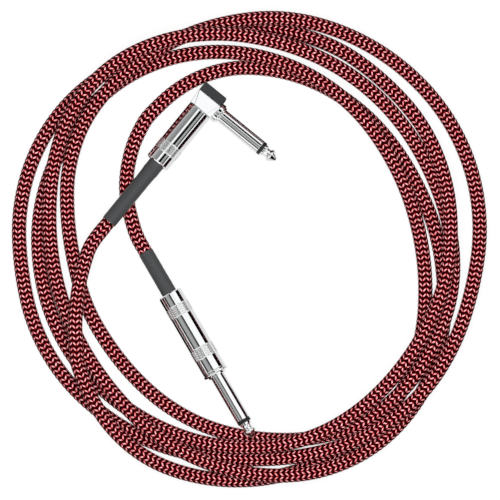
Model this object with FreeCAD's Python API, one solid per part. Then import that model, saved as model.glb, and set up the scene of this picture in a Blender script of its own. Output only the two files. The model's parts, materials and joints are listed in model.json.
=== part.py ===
import FreeCAD, Part
import math
import os

# Instrument cable: a loosely coiled cord in a braided sleeve, with a straight jack plug on one
# end and a right-angle jack plug on the other. Sizes are millimetres and Z points up. The origin
# is on the table, below the middle of the two plugs.

V = FreeCAD.Vector

# Cord
CORD_D = 6.3
CORD_R = CORD_D / 2
JACKET_R = 2.6
CORE_R = 1.2
STRAND_R = 0.45
PIGTAIL_R = 0.6

# Coil: middle of the turns in plan, height of the lowest turns and depth of their flat underside
COIL_X = 24.05
COIL_Y = 4.35
FLAT_DEPTH = 0.5
BASE_HEIGHT = CORD_R - FLAT_DEPTH
FIRST_STATION_DEG = 215
# One station every quarter turn: radius, drift outwards and lift above the lowest turns, and climb,
# drift and climb being what the turn gains in a quarter
STATIONS = [
    (90.5, 54, 12, -16), (98.5, -27, 0, 2), (78.5, 4, 6.5, 16), (94.5, 3, 0, 0),
    (91, -5, 0, 0), (88.6, 2, 13, 4), (99, 13, 9, -17), (102, 11, 0.3, 2),
    (99, -12, 0, 0), (101, 14, 8.5, 14), (110, 1, 3.5, 16), (95.5, -20, 8, 3),
    (74.5, 4, 0, 0), (94, 18, 7, 16), (91.5, 0, 7.5, 16), (102, -3, 13, -9),
    (85, 11, 7.5, 16), (106.5, -5, 4, -15), (82.5, -4, 0, 0), (74, -39, 0.5, 0),
]

# Free stretches between the coil and the plugs: corners in plan from the coil's middle with their
# height, and the straight runs at their ends
ANGLE_LEAD_CORNERS = [(-74.2, -10.8, 13.4), (-78.2, -23.5, 16.0)]
ANGLE_EXIT_RUN = 13.0
COIL_START_RUN = 10.0
STRAIGHT_LEAD_CORNERS = [
    (-53.5, 43.4, CORD_R), (-55.5, 35.4, CORD_R), (-55.8, 26.6, CORD_R), (-53.5, 15.8, CORD_R),
]
COIL_END_RUN = 6.8
STRAIGHT_EXIT_RUN = 8.2
# Share of its shorter neighbouring run that a bend takes up
ARC_SHARE = 0.45

# Straight plug: where its barrel's tail lies from the coil's middle, its heading and its rise
STRAIGHT_X = -33.15
STRAIGHT_Y = -19.68
STRAIGHT_HEADING = -59.74
STRAIGHT_RISE = 3.8

# Right-angle plug: the same, from its barrel's tail towards its head, which lies lower
ANGLE_X = -38.87
ANGLE_Y = 39.24
ANGLE_HEADING = 50.8
ANGLE_FALL = 3.8

# Jack of both plugs
JACK_R = 3.175
RING_T = 1.6
TIP_L = 7.6
# The tip's outline from the ring on: distance along the axis and radius
TIP_COLLAR = [(0, 2.6), (0.9, 2.6), (1.4, 2.1)]
TIP_WAIST = [(2.4, 1.85), (3.4, 2.0)]
TIP_SHOULDER = [(3.9, 2.75), (4.3, 2.88), (4.7, 2.7)]
NOSE_R = 1.2
NOSE_START_DEG = 65
ROD_R = 1.1
BUSH_R = 1.8
RIVET_R = 1.5
RIVET_T = 0.5
LUG_T = 0.6
WASHER_T = 1.2
SEAT = 0.02

# Threads are plain cylinders: the barrel turns on them with this radial play
THREAD_PLAY = 0.05
THREAD_RELIEF_L = 0.6
THREAD_RELIEF_T = 0.4

# Bevels of turned edges
FINE_EDGE = 0.15
EDGE = 0.2
THREAD_EDGE = 0.3

# Coil check: spacing of the points measured, and stretch of cord not compared with itself
GAP_SPACING = 1.5
GAP_SKIP = 60
COIL_REACH = 200

# Straight plug, along its axis from the barrel's tail
STRAIGHT_BARREL_R = 5.5
STRAIGHT_BARREL_L = 40.3
STRAIGHT_BANDS = [(6.6, 11.1), (28.4, 33.1)]
STRAIGHT_BORE_R = 4.7
STRAIGHT_TAIL_HOLE_R = 3.8
STRAIGHT_LIP_R = 5.9
STRAIGHT_LIP_X = 40.4
STRAIGHT_FACE_X = 42.0
# The rounding of the lip's two edges: distance in from its face and down from its top
LIP_ROUNDING = [(0, 0.45), (0.15, 0.2), (0.45, 0)]
STRAIGHT_ROOT_R = 4.1
STRAIGHT_ROOT_L = 1.0
STRAIGHT_THREAD_X = 33.4
STRAIGHT_SPIGOT_R = 3.0
STRAIGHT_SPIGOT_L = 1.0
STRAIGHT_RING_X = 66.0
STRAIGHT_SHRINK_L = 21.8
STRAIGHT_SHRINK_RADII = (3.42, 3.45)
STRAIGHT_WASHER_R = 3.1
STRAIGHT_LUG_R = 2.5
STRAIGHT_TONGUE = (23.5, 1.1, 1.9, 2.4)
STRAIGHT_GROUND_R = 3.95
STRAIGHT_GROUND_T = 0.6
STRAIGHT_LINER_END = 32.0

# Right-angle plug, along its barrel's axis from the barrel's tail
ANGLE_BARREL_R = 5.7
ANGLE_BARREL_L = 30.7
ANGLE_BANDS = [(6.0, 10.3)]
ANGLE_BORE_R = 4.85
ANGLE_TAIL_HOLE_R = 4.15
ANGLE_THREAD_X = 24.8
ANGLE_SPIGOT_R = 3.35
ANGLE_SPIGOT_L = 0.6
ANGLE_SHRINK_L = 34.4
ANGLE_SHRINK_RADII = (3.5, 3.75)
HEAD_X = 30.8
HEAD_L = 6.8
HEAD_BASE_CUT = 2.0
HEAD_TOP_CUT = 0.3
HEAD_TOP_Y = 6.15
HEAD_TOP_Z = 6.0
CAP_T = 4.6
CAP_EDGE = 0.4
CAP_PLAY = 0.05
COLLAR_Y = 4.9
COLLAR_Z = 4.75
COLLAR_L = 2.8
CAVITY_Y = 3.75
CAVITY_Z = 3.6
CAVITY_X = 31.9
WIRE_BORE_R = 2.6
# Its jack stands square to the barrel, at this place on the barrel's axis; these run along the jack
SHAFT_X = 35.2
BOSS_R = 4.2
BOSS_FACE = 6.3
SHOULDER_R = 4.6
SHOULDER_END = 8.2
STEP_R = 3.9
STEP_END = 9.1
TAIL_SPIGOT_R = 2.6
ANGLE_RING = 31.6
ANGLE_WASHER_R = 2.8
ANGLE_LUG_R = 2.3
ANGLE_TONGUE = (1.6, 4.8, 1.1)
ANGLE_GROUND_R = 4.15
ANGLE_LINER_END = 24.0

# Inside both barrels, along the plug from the barrel's tail
TAIL_WALL = 1.6
LINER_T = 0.4
LINER_PLAY = 0.08
LINER_X = 1.8
SHRINK_INSIDE = 3.5
SHRINK_SWELL = (8.0, 5.0)
BRAID_END = 12.0
JACKET_END = 14.0
CLAW_SPANS = [(5.5, 7.5), (9.0, 11.0)]
CLAW_R = 3.2
CLAW_T = 0.6
CLAW_HALF_ANGLE = 125
ARM_HALF_ANGLE = 26
BAND_RISE = 0.15
BAND_EDGE = 0.2
BARREL_EDGE = 0.5
SHRINK_PLAY = 0.05

# Wires inside the plugs: points of their middle lines from the barrel's tail
PIGTAIL = [(JACKET_END, 0, -1.9), (16.5, 0, -1.9), (18.5, 0, -2.58), (21, 0, -2.58)]
STRAIGHT_CORE = [(JACKET_END, 0, 0.6), (18, 0, 0.6), (21.5, 0, 0.45)]
STRAIGHT_WIRE = [(21.5, 0, 0.6), (23, 0, 0.7), (24.5, 0, 1.4), (27, 0, 1.43)]
ANGLE_CORE = [(JACKET_END, 0, 0.6), (20, 0, 0.6), (28, 0.3, 0.2), (36, 1.2, 0)]
ANGLE_WIRE = [(36, 1.2, 0), (38.5, 1.5, 0), (38.9, -1.88, 0)]

# Solder drops: middle and radius
STRAIGHT_TIP_DROP = ((25.6, 0, 1.35), 1.0)
ANGLE_TIP_DROP = ((38.9, -1.6, 0), 0.95)
SHIELD_DROP = ((20.4, 0, -2.6), 1.1)


def from_middle(x, y, z):
    """Point given in plan from the coil's middle."""
    return V(x + COIL_X, y + COIL_Y, z)


def closed_outline(start, *steps):
    """Closed wire in the XZ plane: a step is an (x, r) point, or two of them for an arc."""
    here = V(start[0], 0, start[1])
    first = here
    edges = []
    for step in steps:
        if isinstance(step[0], tuple):
            middle = V(step[0][0], 0, step[0][1])
            end = V(step[1][0], 0, step[1][1])
            edges.append(Part.Arc(here, middle, end).toShape())
        else:
            end = V(step[0], 0, step[1])
            edges.append(Part.LineSegment(here, end).toShape())
        here = end
    edges.append(Part.LineSegment(here, first).toShape())
    return Part.Wire(edges)


def turned(start, *steps):
    """Solid turned about the X axis from an (x, r) outline."""
    return Part.Face(closed_outline(start, *steps)).revolve(V(0, 0, 0), V(1, 0, 0), 360)


def rod(x0, x1, radius):
    """Round bar along X."""
    return Part.makeCylinder(radius, x1 - x0, V(x0, 0, 0), V(1, 0, 0))


def tube_sector(x0, x1, inner, outer, half_angle):
    """Part of a tube along X, as wide as half_angle each side of straight down."""
    ring = turned((x0, inner), (x0, outer), (x1, outer), (x1, inner))
    face = Part.Face(Part.Wire([
        Part.makeLine(V(x0, 0, 0), V(x0, 0, -2 * outer)),
        Part.makeLine(V(x0, 0, -2 * outer), V(x1, 0, -2 * outer)),
        Part.makeLine(V(x1, 0, -2 * outer), V(x1, 0, 0)),
        Part.makeLine(V(x1, 0, 0), V(x0, 0, 0)),
    ]))
    wedge = face.revolve(V(0, 0, 0), V(1, 0, 0), 2 * half_angle)
    wedge.rotate(V(0, 0, 0), V(1, 0, 0), -half_angle)
    return ring.common(wedge)


def block(x0, x1, half_y, half_z):
    """Box along X, centred on it."""
    return Part.makeBox(x1 - x0, 2 * half_y, 2 * half_z, V(x0, -half_y, -half_z))


def chamfered_rectangle(x, half_y, half_z, cut):
    """Rectangle with cut corners, square to X."""
    corners = [
        (half_y, half_z - cut), (half_y - cut, half_z), (cut - half_y, half_z), (-half_y, half_z - cut),
        (-half_y, cut - half_z), (cut - half_y, -half_z), (half_y - cut, -half_z), (half_y, cut - half_z),
    ]
    points = [V(x, y, z) for y, z in corners]
    return Part.makePolygon(points + points[:1])


def arc_from(start, tangent, end):
    """Arc that leaves start along a unit tangent and ends at end, with its radius."""
    chord = end - start
    along = chord * (1 / chord.Length)
    side = tangent - along * tangent.dot(along)
    half_turn = math.atan2(side.Length, tangent.dot(along))
    middle = (start + end) * 0.5 + side * (0.5 * chord.Length * math.tan(half_turn / 2) / side.Length)
    return Part.Arc(start, middle, end).toShape(), chord.Length / (2 * math.sin(half_turn))


def biarc(p0, t0, p1, t1):
    """Two arcs from one station to the next, tangent to both and to each other, with their radii."""
    chord = p1 - p0
    both = t0 + t1
    spread = 2 * (1 - t0.dot(t1))
    reach = (math.sqrt(chord.dot(both) ** 2 + spread * chord.dot(chord)) - chord.dot(both)) / spread
    joint = (p0 + p1 + (t0 - t1) * reach) * 0.5
    tangent = (p1 - t1 * reach) - (p0 + t0 * reach)
    tangent = tangent * (1 / tangent.Length)
    return [arc_from(p0, t0, joint), arc_from(joint, tangent, p1)]


def station(number):
    """Point and direction of the coil at one station."""
    radius, drift, lift, climb = STATIONS[number]
    angle = math.radians(FIRST_STATION_DEG + 90 * number)
    quarter = math.pi / 2
    out = V(math.cos(angle), math.sin(angle), 0)
    round_about = V(-out.y, out.x, 0)
    heading = round_about * radius + out * (drift / quarter) + V(0, 0, climb / quarter)
    place = from_middle(out.x * radius, out.y * radius, BASE_HEIGHT + lift)
    return place, heading * (1 / heading.Length)


def tube(edges, radius):
    """Round tube swept along joined edges."""
    path = Part.Wire(edges)
    start = edges[0].valueAt(edges[0].FirstParameter)
    heading = edges[0].tangentAt(edges[0].FirstParameter)
    ring = Part.Wire([Part.makeCircle(radius, start, heading)])
    return path.makePipeShell([ring], True, False)


def report(name, solid, length, radii, radius):
    """Print how a tube came out: length, tightest bend and volume against section times length."""
    share = solid.Volume / (math.pi * radius ** 2 * length)
    bends = " ".join("%.0f" % r for r in radii)
    print("%s: length %.1f, bend radii %s, volume share %.4f" % (name, length, bends, share))


def least_gap(points, spacing, near):
    """Least gap of the coil's tube to itself, measured on evenly spaced points of its middle line."""
    skip = int(near / spacing)
    least = 1e9
    coordinates = [(p.x, p.y, p.z) for p in points]
    for i, (x, y, z) in enumerate(coordinates):
        for u, v, w in coordinates[i + skip:]:
            least = min(least, (x - u) ** 2 + (y - v) ** 2 + (z - w) ** 2)
    return math.sqrt(least) - CORD_D


def coil_ends():
    """Where the coil's tube starts and ends, and its direction there."""
    first, first_heading = station(0)
    last, last_heading = station(len(STATIONS) - 1)
    return first - first_heading * CORD_D, first_heading, last + last_heading * CORD_D, last_heading


def cable_coil():
    """The turns of the cord: quarter turns of two arcs each, straight at both ends, flat below."""
    start, _, end, _ = coil_ends()
    places = [station(i) for i in range(len(STATIONS))]
    edges = [Part.LineSegment(start, places[0][0]).toShape()]
    radii = []
    for (p0, t0), (p1, t1) in zip(places, places[1:]):
        for edge, radius in biarc(p0, t0, p1, t1):
            edges.append(edge)
            radii.append(radius)
    edges.append(Part.LineSegment(places[-1][0], end).toShape())
    solid = tube(edges, CORD_R)
    length = sum(edge.Length for edge in edges)
    report("cable_coil", solid, length, radii, CORD_R)
    middle_line = Part.Wire(edges).discretize(Distance=GAP_SPACING)
    print("cable_coil: least gap to itself %.2f" % least_gap(middle_line, GAP_SPACING, GAP_SKIP))
    table = 2 * COIL_REACH
    below = Part.makeBox(table, table, CORD_D, V(COIL_X - COIL_REACH, COIL_Y - COIL_REACH, -CORD_D))
    return solid.cut(below)


def run_and_arc_edges(points):
    """Straight runs joined by tangent arcs, each as large as its two runs allow, and the radii."""
    edges = []
    radii = []
    here = points[0]
    for before, corner, after in zip(points, points[1:], points[2:]):
        back = before - corner
        ahead = after - corner
        cut = ARC_SHARE * min(back.Length, ahead.Length)
        arc_start = corner + back * (cut / back.Length)
        arc_end = corner + ahead * (cut / ahead.Length)
        half_turn = (math.pi - back.getAngle(ahead)) / 2
        edges.append(Part.LineSegment(here, arc_start).toShape())
        arc, radius = arc_from(arc_start, back * (-1 / back.Length), arc_end)
        edges.append(arc)
        radii.append(cut / math.tan(half_turn))
        here = arc_end
    edges.append(Part.LineSegment(here, points[-1]).toShape())
    return edges, radii


def lead(name, points):
    """Free stretch of the cord along hand-chosen points."""
    edges, radii = run_and_arc_edges(points)
    solid = tube(edges, CORD_R)
    report(name, solid, sum(edge.Length for edge in edges), radii, CORD_R)
    return solid


def wire_tube(points, radius):
    """Short wire inside a plug."""
    edges, _ = run_and_arc_edges([V(*p) for p in points])
    return tube(edges, radius)


def jack_tip(ring_end, back):
    """Turned tip with its waist and round nose, on a rod that is riveted over at back."""
    nose_middle = ring_end + TIP_L - NOSE_R

    def nose(degrees):
        """Point of the nose this far from the axis."""
        angle = math.radians(degrees)
        return nose_middle + NOSE_R * math.cos(angle), NOSE_R * math.sin(angle)

    outline = [(ring_end + x, radius) for x, radius in TIP_COLLAR + TIP_WAIST + TIP_SHOULDER]
    return turned(
        (back, 0), (back, RIVET_R - EDGE), (back + EDGE, RIVET_R), (back + RIVET_T, RIVET_R),
        (back + RIVET_T, ROD_R), (ring_end, ROD_R), *outline,
        nose(NOSE_START_DEG), (nose(NOSE_START_DEG / 2), nose(0)),
    )


def jack_insulator(ring_start, back):
    """Black ring between sleeve and tip, in one piece with the bush round the tip's rod."""
    end = ring_start + RING_T
    bore = ROD_R + SEAT
    return turned(
        (back, bore), (back, BUSH_R), (ring_start, BUSH_R), (ring_start, JACK_R - FINE_EDGE),
        (ring_start + FINE_EDGE, JACK_R), (end - FINE_EDGE, JACK_R), (end, JACK_R - FINE_EDGE), (end, bore),
    )


def insulating_washer(x0, x1, radius):
    """Washer that keeps the tip's lug off the body."""
    bore = ROD_R + SEAT
    return turned((x0, bore), (x0, radius), (x1, radius), (x1, bore))


def tip_lug(ring_x, ring_radius, tongue):
    """Solder lug: a ring under the rivet with a tongue for the wire."""
    ring = rod(ring_x, ring_x + LUG_T, ring_radius)
    hole = rod(ring_x - 1, ring_x + LUG_T + 1, ROD_R + SEAT)
    return ring.fuse(tongue).cut(hole).removeSplitter()


def ground_lug(washer_end, washer_t, spigot_r, washer_r):
    """Ground contact: a washer on the body, an arm to the rear and two pairs of crimped claws."""
    outer = CLAW_R + CLAW_T
    start = washer_end - washer_t
    bore = spigot_r + SEAT
    lug = turned((start, bore), (start, washer_r), (washer_end, washer_r), (washer_end, bore))
    lug = lug.fuse(tube_sector(CLAW_SPANS[0][0], washer_end, CLAW_R, outer, ARM_HALF_ANGLE))
    for x0, x1 in CLAW_SPANS:
        lug = lug.fuse(tube_sector(x0, x1, CLAW_R, outer, CLAW_HALF_ANGLE))
    spigot = rod(start - 1, washer_end + 1, bore)
    return lug.cut(spigot.common(block(start, washer_end, bore, bore))).removeSplitter()


def barrel(length, radius, bands, bore, hole):
    """Turned barrel with raised knurled bands, a wall at its tail and a plain bore for the thread."""
    steps = [(0, radius - BARREL_EDGE), (BARREL_EDGE, radius)]
    for x0, x1 in bands:
        steps += [
            (x0 - 2 * BAND_EDGE, radius), (x0 - BAND_EDGE, radius - BAND_RISE), (x0, radius + BAND_RISE),
            (x1, radius + BAND_RISE), (x1 + BAND_EDGE, radius - BAND_RISE), (x1 + 2 * BAND_EDGE, radius),
        ]
    steps += [
        (length - EDGE, radius), (length, radius - EDGE), (length, bore),
        (TAIL_WALL, bore), (TAIL_WALL, hole),
    ]
    return turned((0, hole), *steps)


def liner(end, bore):
    """Insulating tube inside the barrel."""
    outer = bore - LINER_PLAY
    inner = outer - LINER_T
    return turned((LINER_X, inner), (LINER_X, outer), (end, outer), (end, inner))


def heat_shrink(length, radii):
    """Shrunk sleeve over the cord, from inside the barrel's tail to the free cord."""
    bore = CORD_R + SHRINK_PLAY
    cord_end, barrel_end = radii
    swell_start, swell_end = SHRINK_SWELL
    return turned(
        (-length, bore), (-length, cord_end), (-swell_start, cord_end), (-swell_end, barrel_end),
        (SHRINK_INSIDE, barrel_end), (SHRINK_INSIDE, bore),
    )


def cable_end(shrink_length):
    """End of the cord inside the plug: braid up to the claws, then the bare jacket."""
    return turned(
        (-shrink_length, 0), (-shrink_length, CORD_R), (BRAID_END, CORD_R), (BRAID_END, JACKET_R),
        (JACKET_END, JACKET_R), (JACKET_END, 0),
    )


def shield_pigtail():
    """Twisted shield strands, from the jacket's end down to the ground lug's arm."""
    return wire_tube(PIGTAIL, PIGTAIL_R)


def solder_drop(drop, *neighbours):
    """Drop of solder that ends at the surfaces of the pieces it joins."""
    place, radius = drop
    drop = Part.makeSphere(radius, V(*place))
    for neighbour in neighbours:
        drop = drop.cut(neighbour)
    return drop


def straight_body():
    """Ground sleeve, lip and threaded body of the straight plug, turned from one bar."""
    thread_r = STRAIGHT_BORE_R - THREAD_PLAY
    bore = BUSH_R + SEAT
    tail = STRAIGHT_THREAD_X - STRAIGHT_SPIGOT_L
    lip = [(STRAIGHT_LIP_X + inwards, STRAIGHT_LIP_R - down) for inwards, down in LIP_ROUNDING]
    lip += [(STRAIGHT_FACE_X - inwards, STRAIGHT_LIP_R - down) for inwards, down in reversed(LIP_ROUNDING)]
    relief = STRAIGHT_LIP_X - THREAD_RELIEF_L
    relief_r = thread_r - THREAD_RELIEF_T
    root = STRAIGHT_FACE_X + STRAIGHT_ROOT_L
    return turned(
        (tail, bore), (tail, STRAIGHT_SPIGOT_R), (STRAIGHT_THREAD_X, STRAIGHT_SPIGOT_R),
        (STRAIGHT_THREAD_X, thread_r - THREAD_EDGE), (STRAIGHT_THREAD_X + THREAD_EDGE, thread_r),
        (relief, thread_r), (relief, relief_r), (STRAIGHT_LIP_X, relief_r), *lip,
        (STRAIGHT_FACE_X, STRAIGHT_ROOT_R),
        (root - EDGE, STRAIGHT_ROOT_R), (root, STRAIGHT_ROOT_R - EDGE), (root, JACK_R),
        (STRAIGHT_RING_X, JACK_R), (STRAIGHT_RING_X, bore),
    )


def straight_plug():
    """Pieces of the straight plug, along X from the barrel's tail towards the tip."""
    ring_end = STRAIGHT_RING_X + RING_T
    body_tail = STRAIGHT_THREAD_X - STRAIGHT_SPIGOT_L
    lug_x = body_tail - WASHER_T - LUG_T
    pieces = {}
    pieces["straight_tip"] = jack_tip(ring_end, lug_x - RIVET_T)
    pieces["straight_tip_insulator"] = jack_insulator(STRAIGHT_RING_X, body_tail)
    pieces["straight_sleeve"] = straight_body()
    pieces["straight_rear_insulator"] = insulating_washer(
        body_tail - WASHER_T, body_tail, STRAIGHT_WASHER_R)
    tongue_x, half_width, low, high = STRAIGHT_TONGUE
    tongue = Part.makeBox(
        lug_x + LUG_T - tongue_x, 2 * half_width, high - low, V(tongue_x, -half_width, low))
    pieces["straight_tip_lug"] = tip_lug(lug_x, STRAIGHT_LUG_R, tongue)
    pieces["straight_ground_lug"] = ground_lug(
        STRAIGHT_THREAD_X, STRAIGHT_GROUND_T, STRAIGHT_SPIGOT_R, STRAIGHT_GROUND_R)
    pieces["straight_barrel"] = barrel(
        STRAIGHT_BARREL_L, STRAIGHT_BARREL_R, STRAIGHT_BANDS, STRAIGHT_BORE_R, STRAIGHT_TAIL_HOLE_R)
    pieces["straight_liner"] = liner(STRAIGHT_LINER_END, STRAIGHT_BORE_R)
    pieces["straight_heat_shrink"] = heat_shrink(STRAIGHT_SHRINK_L, STRAIGHT_SHRINK_RADII)
    pieces["straight_cable_end"] = cable_end(STRAIGHT_SHRINK_L)
    pieces["straight_core"] = wire_tube(STRAIGHT_CORE, CORE_R)
    pieces["straight_core_wire"] = wire_tube(STRAIGHT_WIRE, STRAND_R).cut(pieces["straight_core"])
    pieces["straight_shield_pigtail"] = shield_pigtail()
    pieces["straight_tip_solder"] = solder_drop(
        STRAIGHT_TIP_DROP, pieces["straight_tip_lug"], pieces["straight_core_wire"])
    pieces["straight_shield_solder"] = solder_drop(
        SHIELD_DROP, pieces["straight_ground_lug"], pieces["straight_shield_pigtail"])
    return pieces


def along_jack(shape):
    """Turn a piece made along X onto the right-angle plug's jack, which points to -Y."""
    shape.rotate(V(0, 0, 0), V(0, 0, 1), -90)
    shape.translate(V(SHAFT_X, 0, 0))
    return shape


def angle_body():
    """Ground sleeve of the right-angle plug with its shoulder and the spigot pressed into the head."""
    bore = BUSH_R + SEAT
    return turned(
        (CAVITY_Y, bore), (CAVITY_Y, TAIL_SPIGOT_R), (BOSS_FACE, TAIL_SPIGOT_R),
        (BOSS_FACE, SHOULDER_R - EDGE), (BOSS_FACE + EDGE, SHOULDER_R), (SHOULDER_END - EDGE, SHOULDER_R),
        (SHOULDER_END, SHOULDER_R - EDGE), (SHOULDER_END, STEP_R), (STEP_END - EDGE, STEP_R),
        (STEP_END, STEP_R - EDGE), (STEP_END, JACK_R), (ANGLE_RING, JACK_R), (ANGLE_RING, bore),
    )


def angle_head():
    """Faceted head: it widens from an eight-sided section to a square one, and is hollow inside."""
    head_end = HEAD_X + HEAD_L
    base = chamfered_rectangle(HEAD_X, ANGLE_BARREL_R, ANGLE_BARREL_R, HEAD_BASE_CUT)
    top = chamfered_rectangle(head_end, HEAD_TOP_Y, HEAD_TOP_Z, HEAD_TOP_CUT)
    head = Part.makeLoft([base, top], True, True)
    head = head.fuse(block(head_end, head_end + COLLAR_L, COLLAR_Y, COLLAR_Z))
    boss = Part.makeCylinder(BOSS_R, BOSS_FACE - COLLAR_Y + 1, V(SHAFT_X, 1 - COLLAR_Y, 0), V(0, -1, 0))
    head = head.fuse(boss)
    thread_r = ANGLE_BORE_R - THREAD_PLAY
    tail = ANGLE_THREAD_X - ANGLE_SPIGOT_L
    relief = HEAD_X - THREAD_RELIEF_L
    spigot = turned(
        (tail, WIRE_BORE_R), (tail, ANGLE_SPIGOT_R), (ANGLE_THREAD_X, ANGLE_SPIGOT_R),
        (ANGLE_THREAD_X, thread_r - THREAD_EDGE), (ANGLE_THREAD_X + THREAD_EDGE, thread_r),
        (relief, thread_r), (relief, thread_r - THREAD_RELIEF_T),
        (HEAD_X, thread_r - THREAD_RELIEF_T), (HEAD_X, WIRE_BORE_R),
    )
    head = head.fuse(spigot)
    head = head.cut(block(CAVITY_X, head_end + COLLAR_L, CAVITY_Y, CAVITY_Z))
    head = head.cut(rod(HEAD_X - 0.1, CAVITY_X + 0.1, WIRE_BORE_R))
    side_hole = Part.makeCylinder(TAIL_SPIGOT_R + SEAT, BOSS_FACE, V(SHAFT_X, 0, 0), V(0, -1, 0))
    return head.cut(side_hole).removeSplitter()


def angle_cap():
    """Cap over the head's open end, hollow, with a notch round the jack's boss."""
    start = HEAD_X + HEAD_L
    end = start + CAP_T
    skirt = chamfered_rectangle(start, HEAD_TOP_Y, HEAD_TOP_Z, HEAD_TOP_CUT)
    shoulder = chamfered_rectangle(end - CAP_EDGE, HEAD_TOP_Y, HEAD_TOP_Z, HEAD_TOP_CUT)
    face = chamfered_rectangle(end, HEAD_TOP_Y - CAP_EDGE, HEAD_TOP_Z - CAP_EDGE, HEAD_TOP_CUT)
    cap = Part.makeLoft([skirt, shoulder, face], True, True)
    cap = cap.cut(block(start, start + COLLAR_L + 0.2, COLLAR_Y + CAP_PLAY, COLLAR_Z + CAP_PLAY))
    notch = Part.makeCylinder(BOSS_R + CAP_PLAY, 3, V(SHAFT_X, 2 - BOSS_FACE, 0), V(0, -1, 0))
    return cap.cut(notch)


def angle_plug():
    """Pieces of the right-angle plug, along X from the barrel's tail towards the head."""
    ring_end = ANGLE_RING + RING_T
    washer = CAVITY_Y - WASHER_T
    lug_y = washer - LUG_T
    pieces = {}
    pieces["angle_tip"] = along_jack(jack_tip(ring_end, lug_y - RIVET_T))
    pieces["angle_tip_insulator"] = along_jack(jack_insulator(ANGLE_RING, CAVITY_Y))
    pieces["angle_sleeve"] = along_jack(angle_body())
    pieces["angle_rear_insulator"] = along_jack(insulating_washer(washer, CAVITY_Y, ANGLE_WASHER_R))
    tongue_start, tongue_end, half_width = ANGLE_TONGUE
    tongue = Part.makeBox(
        LUG_T, tongue_end - tongue_start, 2 * half_width, V(lug_y, tongue_start, -half_width))
    pieces["angle_tip_lug"] = along_jack(tip_lug(lug_y, ANGLE_LUG_R, tongue))
    pieces["angle_head"] = angle_head()
    pieces["angle_cap"] = angle_cap()
    pieces["angle_ground_lug"] = ground_lug(
        ANGLE_THREAD_X, ANGLE_SPIGOT_L, ANGLE_SPIGOT_R, ANGLE_GROUND_R)
    pieces["angle_barrel"] = barrel(
        ANGLE_BARREL_L, ANGLE_BARREL_R, ANGLE_BANDS, ANGLE_BORE_R, ANGLE_TAIL_HOLE_R)
    pieces["angle_liner"] = liner(ANGLE_LINER_END, ANGLE_BORE_R)
    pieces["angle_heat_shrink"] = heat_shrink(ANGLE_SHRINK_L, ANGLE_SHRINK_RADII)
    pieces["angle_cable_end"] = cable_end(ANGLE_SHRINK_L)
    pieces["angle_core"] = wire_tube(ANGLE_CORE, CORE_R)
    pieces["angle_core_wire"] = wire_tube(ANGLE_WIRE, STRAND_R).cut(pieces["angle_core"])
    pieces["angle_shield_pigtail"] = shield_pigtail()
    pieces["angle_tip_solder"] = solder_drop(
        ANGLE_TIP_DROP, pieces["angle_tip_lug"], pieces["angle_core_wire"])
    pieces["angle_shield_solder"] = solder_drop(
        SHIELD_DROP, pieces["angle_ground_lug"], pieces["angle_shield_pigtail"])
    return pieces


def lay(pieces, tail, heading, fall):
    """Lay a plug on the table: its barrel's tail at a point, turned to a heading and tipped down."""
    placement = FreeCAD.Placement(tail, FreeCAD.Rotation(heading, fall, 0))
    return {name: shape.transformed(placement.toMatrix(), True) for name, shape in pieces.items()}


def plug_direction(heading, fall):
    """Unit vector along a laid plug's X axis."""
    return FreeCAD.Rotation(heading, fall, 0).multVec(V(1, 0, 0))


def main():
    """Build every piece, lay the plugs and the cord, and write one file a piece."""
    rise = math.radians(STRAIGHT_RISE)
    straight_tail = from_middle(STRAIGHT_X, STRAIGHT_Y, STRAIGHT_BARREL_R * math.cos(rise))
    fall = math.radians(ANGLE_FALL)
    head_reach = HEAD_X + HEAD_L + CAP_T
    angle_height = head_reach * math.sin(fall) + HEAD_TOP_Z * math.cos(fall)
    angle_tail = from_middle(ANGLE_X, ANGLE_Y, angle_height)
    parts = lay(straight_plug(), straight_tail, STRAIGHT_HEADING, -STRAIGHT_RISE)
    parts.update(lay(angle_plug(), angle_tail, ANGLE_HEADING, ANGLE_FALL))

    coil_start, start_heading, coil_end, end_heading = coil_ends()
    parts["cable_coil"] = cable_coil()

    angle_axis = plug_direction(ANGLE_HEADING, ANGLE_FALL)
    angle_exit = angle_tail - angle_axis * ANGLE_SHRINK_L
    parts["cable_lead_angle"] = lead("cable_lead_angle", [
        angle_exit, angle_exit - angle_axis * ANGLE_EXIT_RUN,
        *[from_middle(*corner) for corner in ANGLE_LEAD_CORNERS],
        coil_start - start_heading * COIL_START_RUN, coil_start,
    ])

    straight_axis = plug_direction(STRAIGHT_HEADING, -STRAIGHT_RISE)
    straight_exit = straight_tail - straight_axis * STRAIGHT_SHRINK_L
    parts["cable_lead_straight"] = lead("cable_lead_straight", [
        coil_end, coil_end + end_heading * COIL_END_RUN,
        *[from_middle(*corner) for corner in STRAIGHT_LEAD_CORNERS],
        straight_exit - straight_axis * STRAIGHT_EXIT_RUN, straight_exit,
    ])

    os.makedirs("parts", exist_ok=True)
    for name, shape in parts.items():
        print("%s: solids %d, volume %.1f" % (name, len(shape.Solids), shape.Volume))
        shape.exportStep(os.path.join("parts", name + ".step"))


main()
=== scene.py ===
"""Dresses the instrument cable: braided cord, straight plug, right-angle plug and studio."""

import json
import logging
import math
from collections.abc import Callable
from dataclasses import dataclass
from enum import Enum
from functools import partial

import bmesh
import bpy
import numpy as np
from bpy.types import ID, Material, Mesh, Node, NodeSocket, NodeTree, Object
from mathutils import Matrix, Vector

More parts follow.
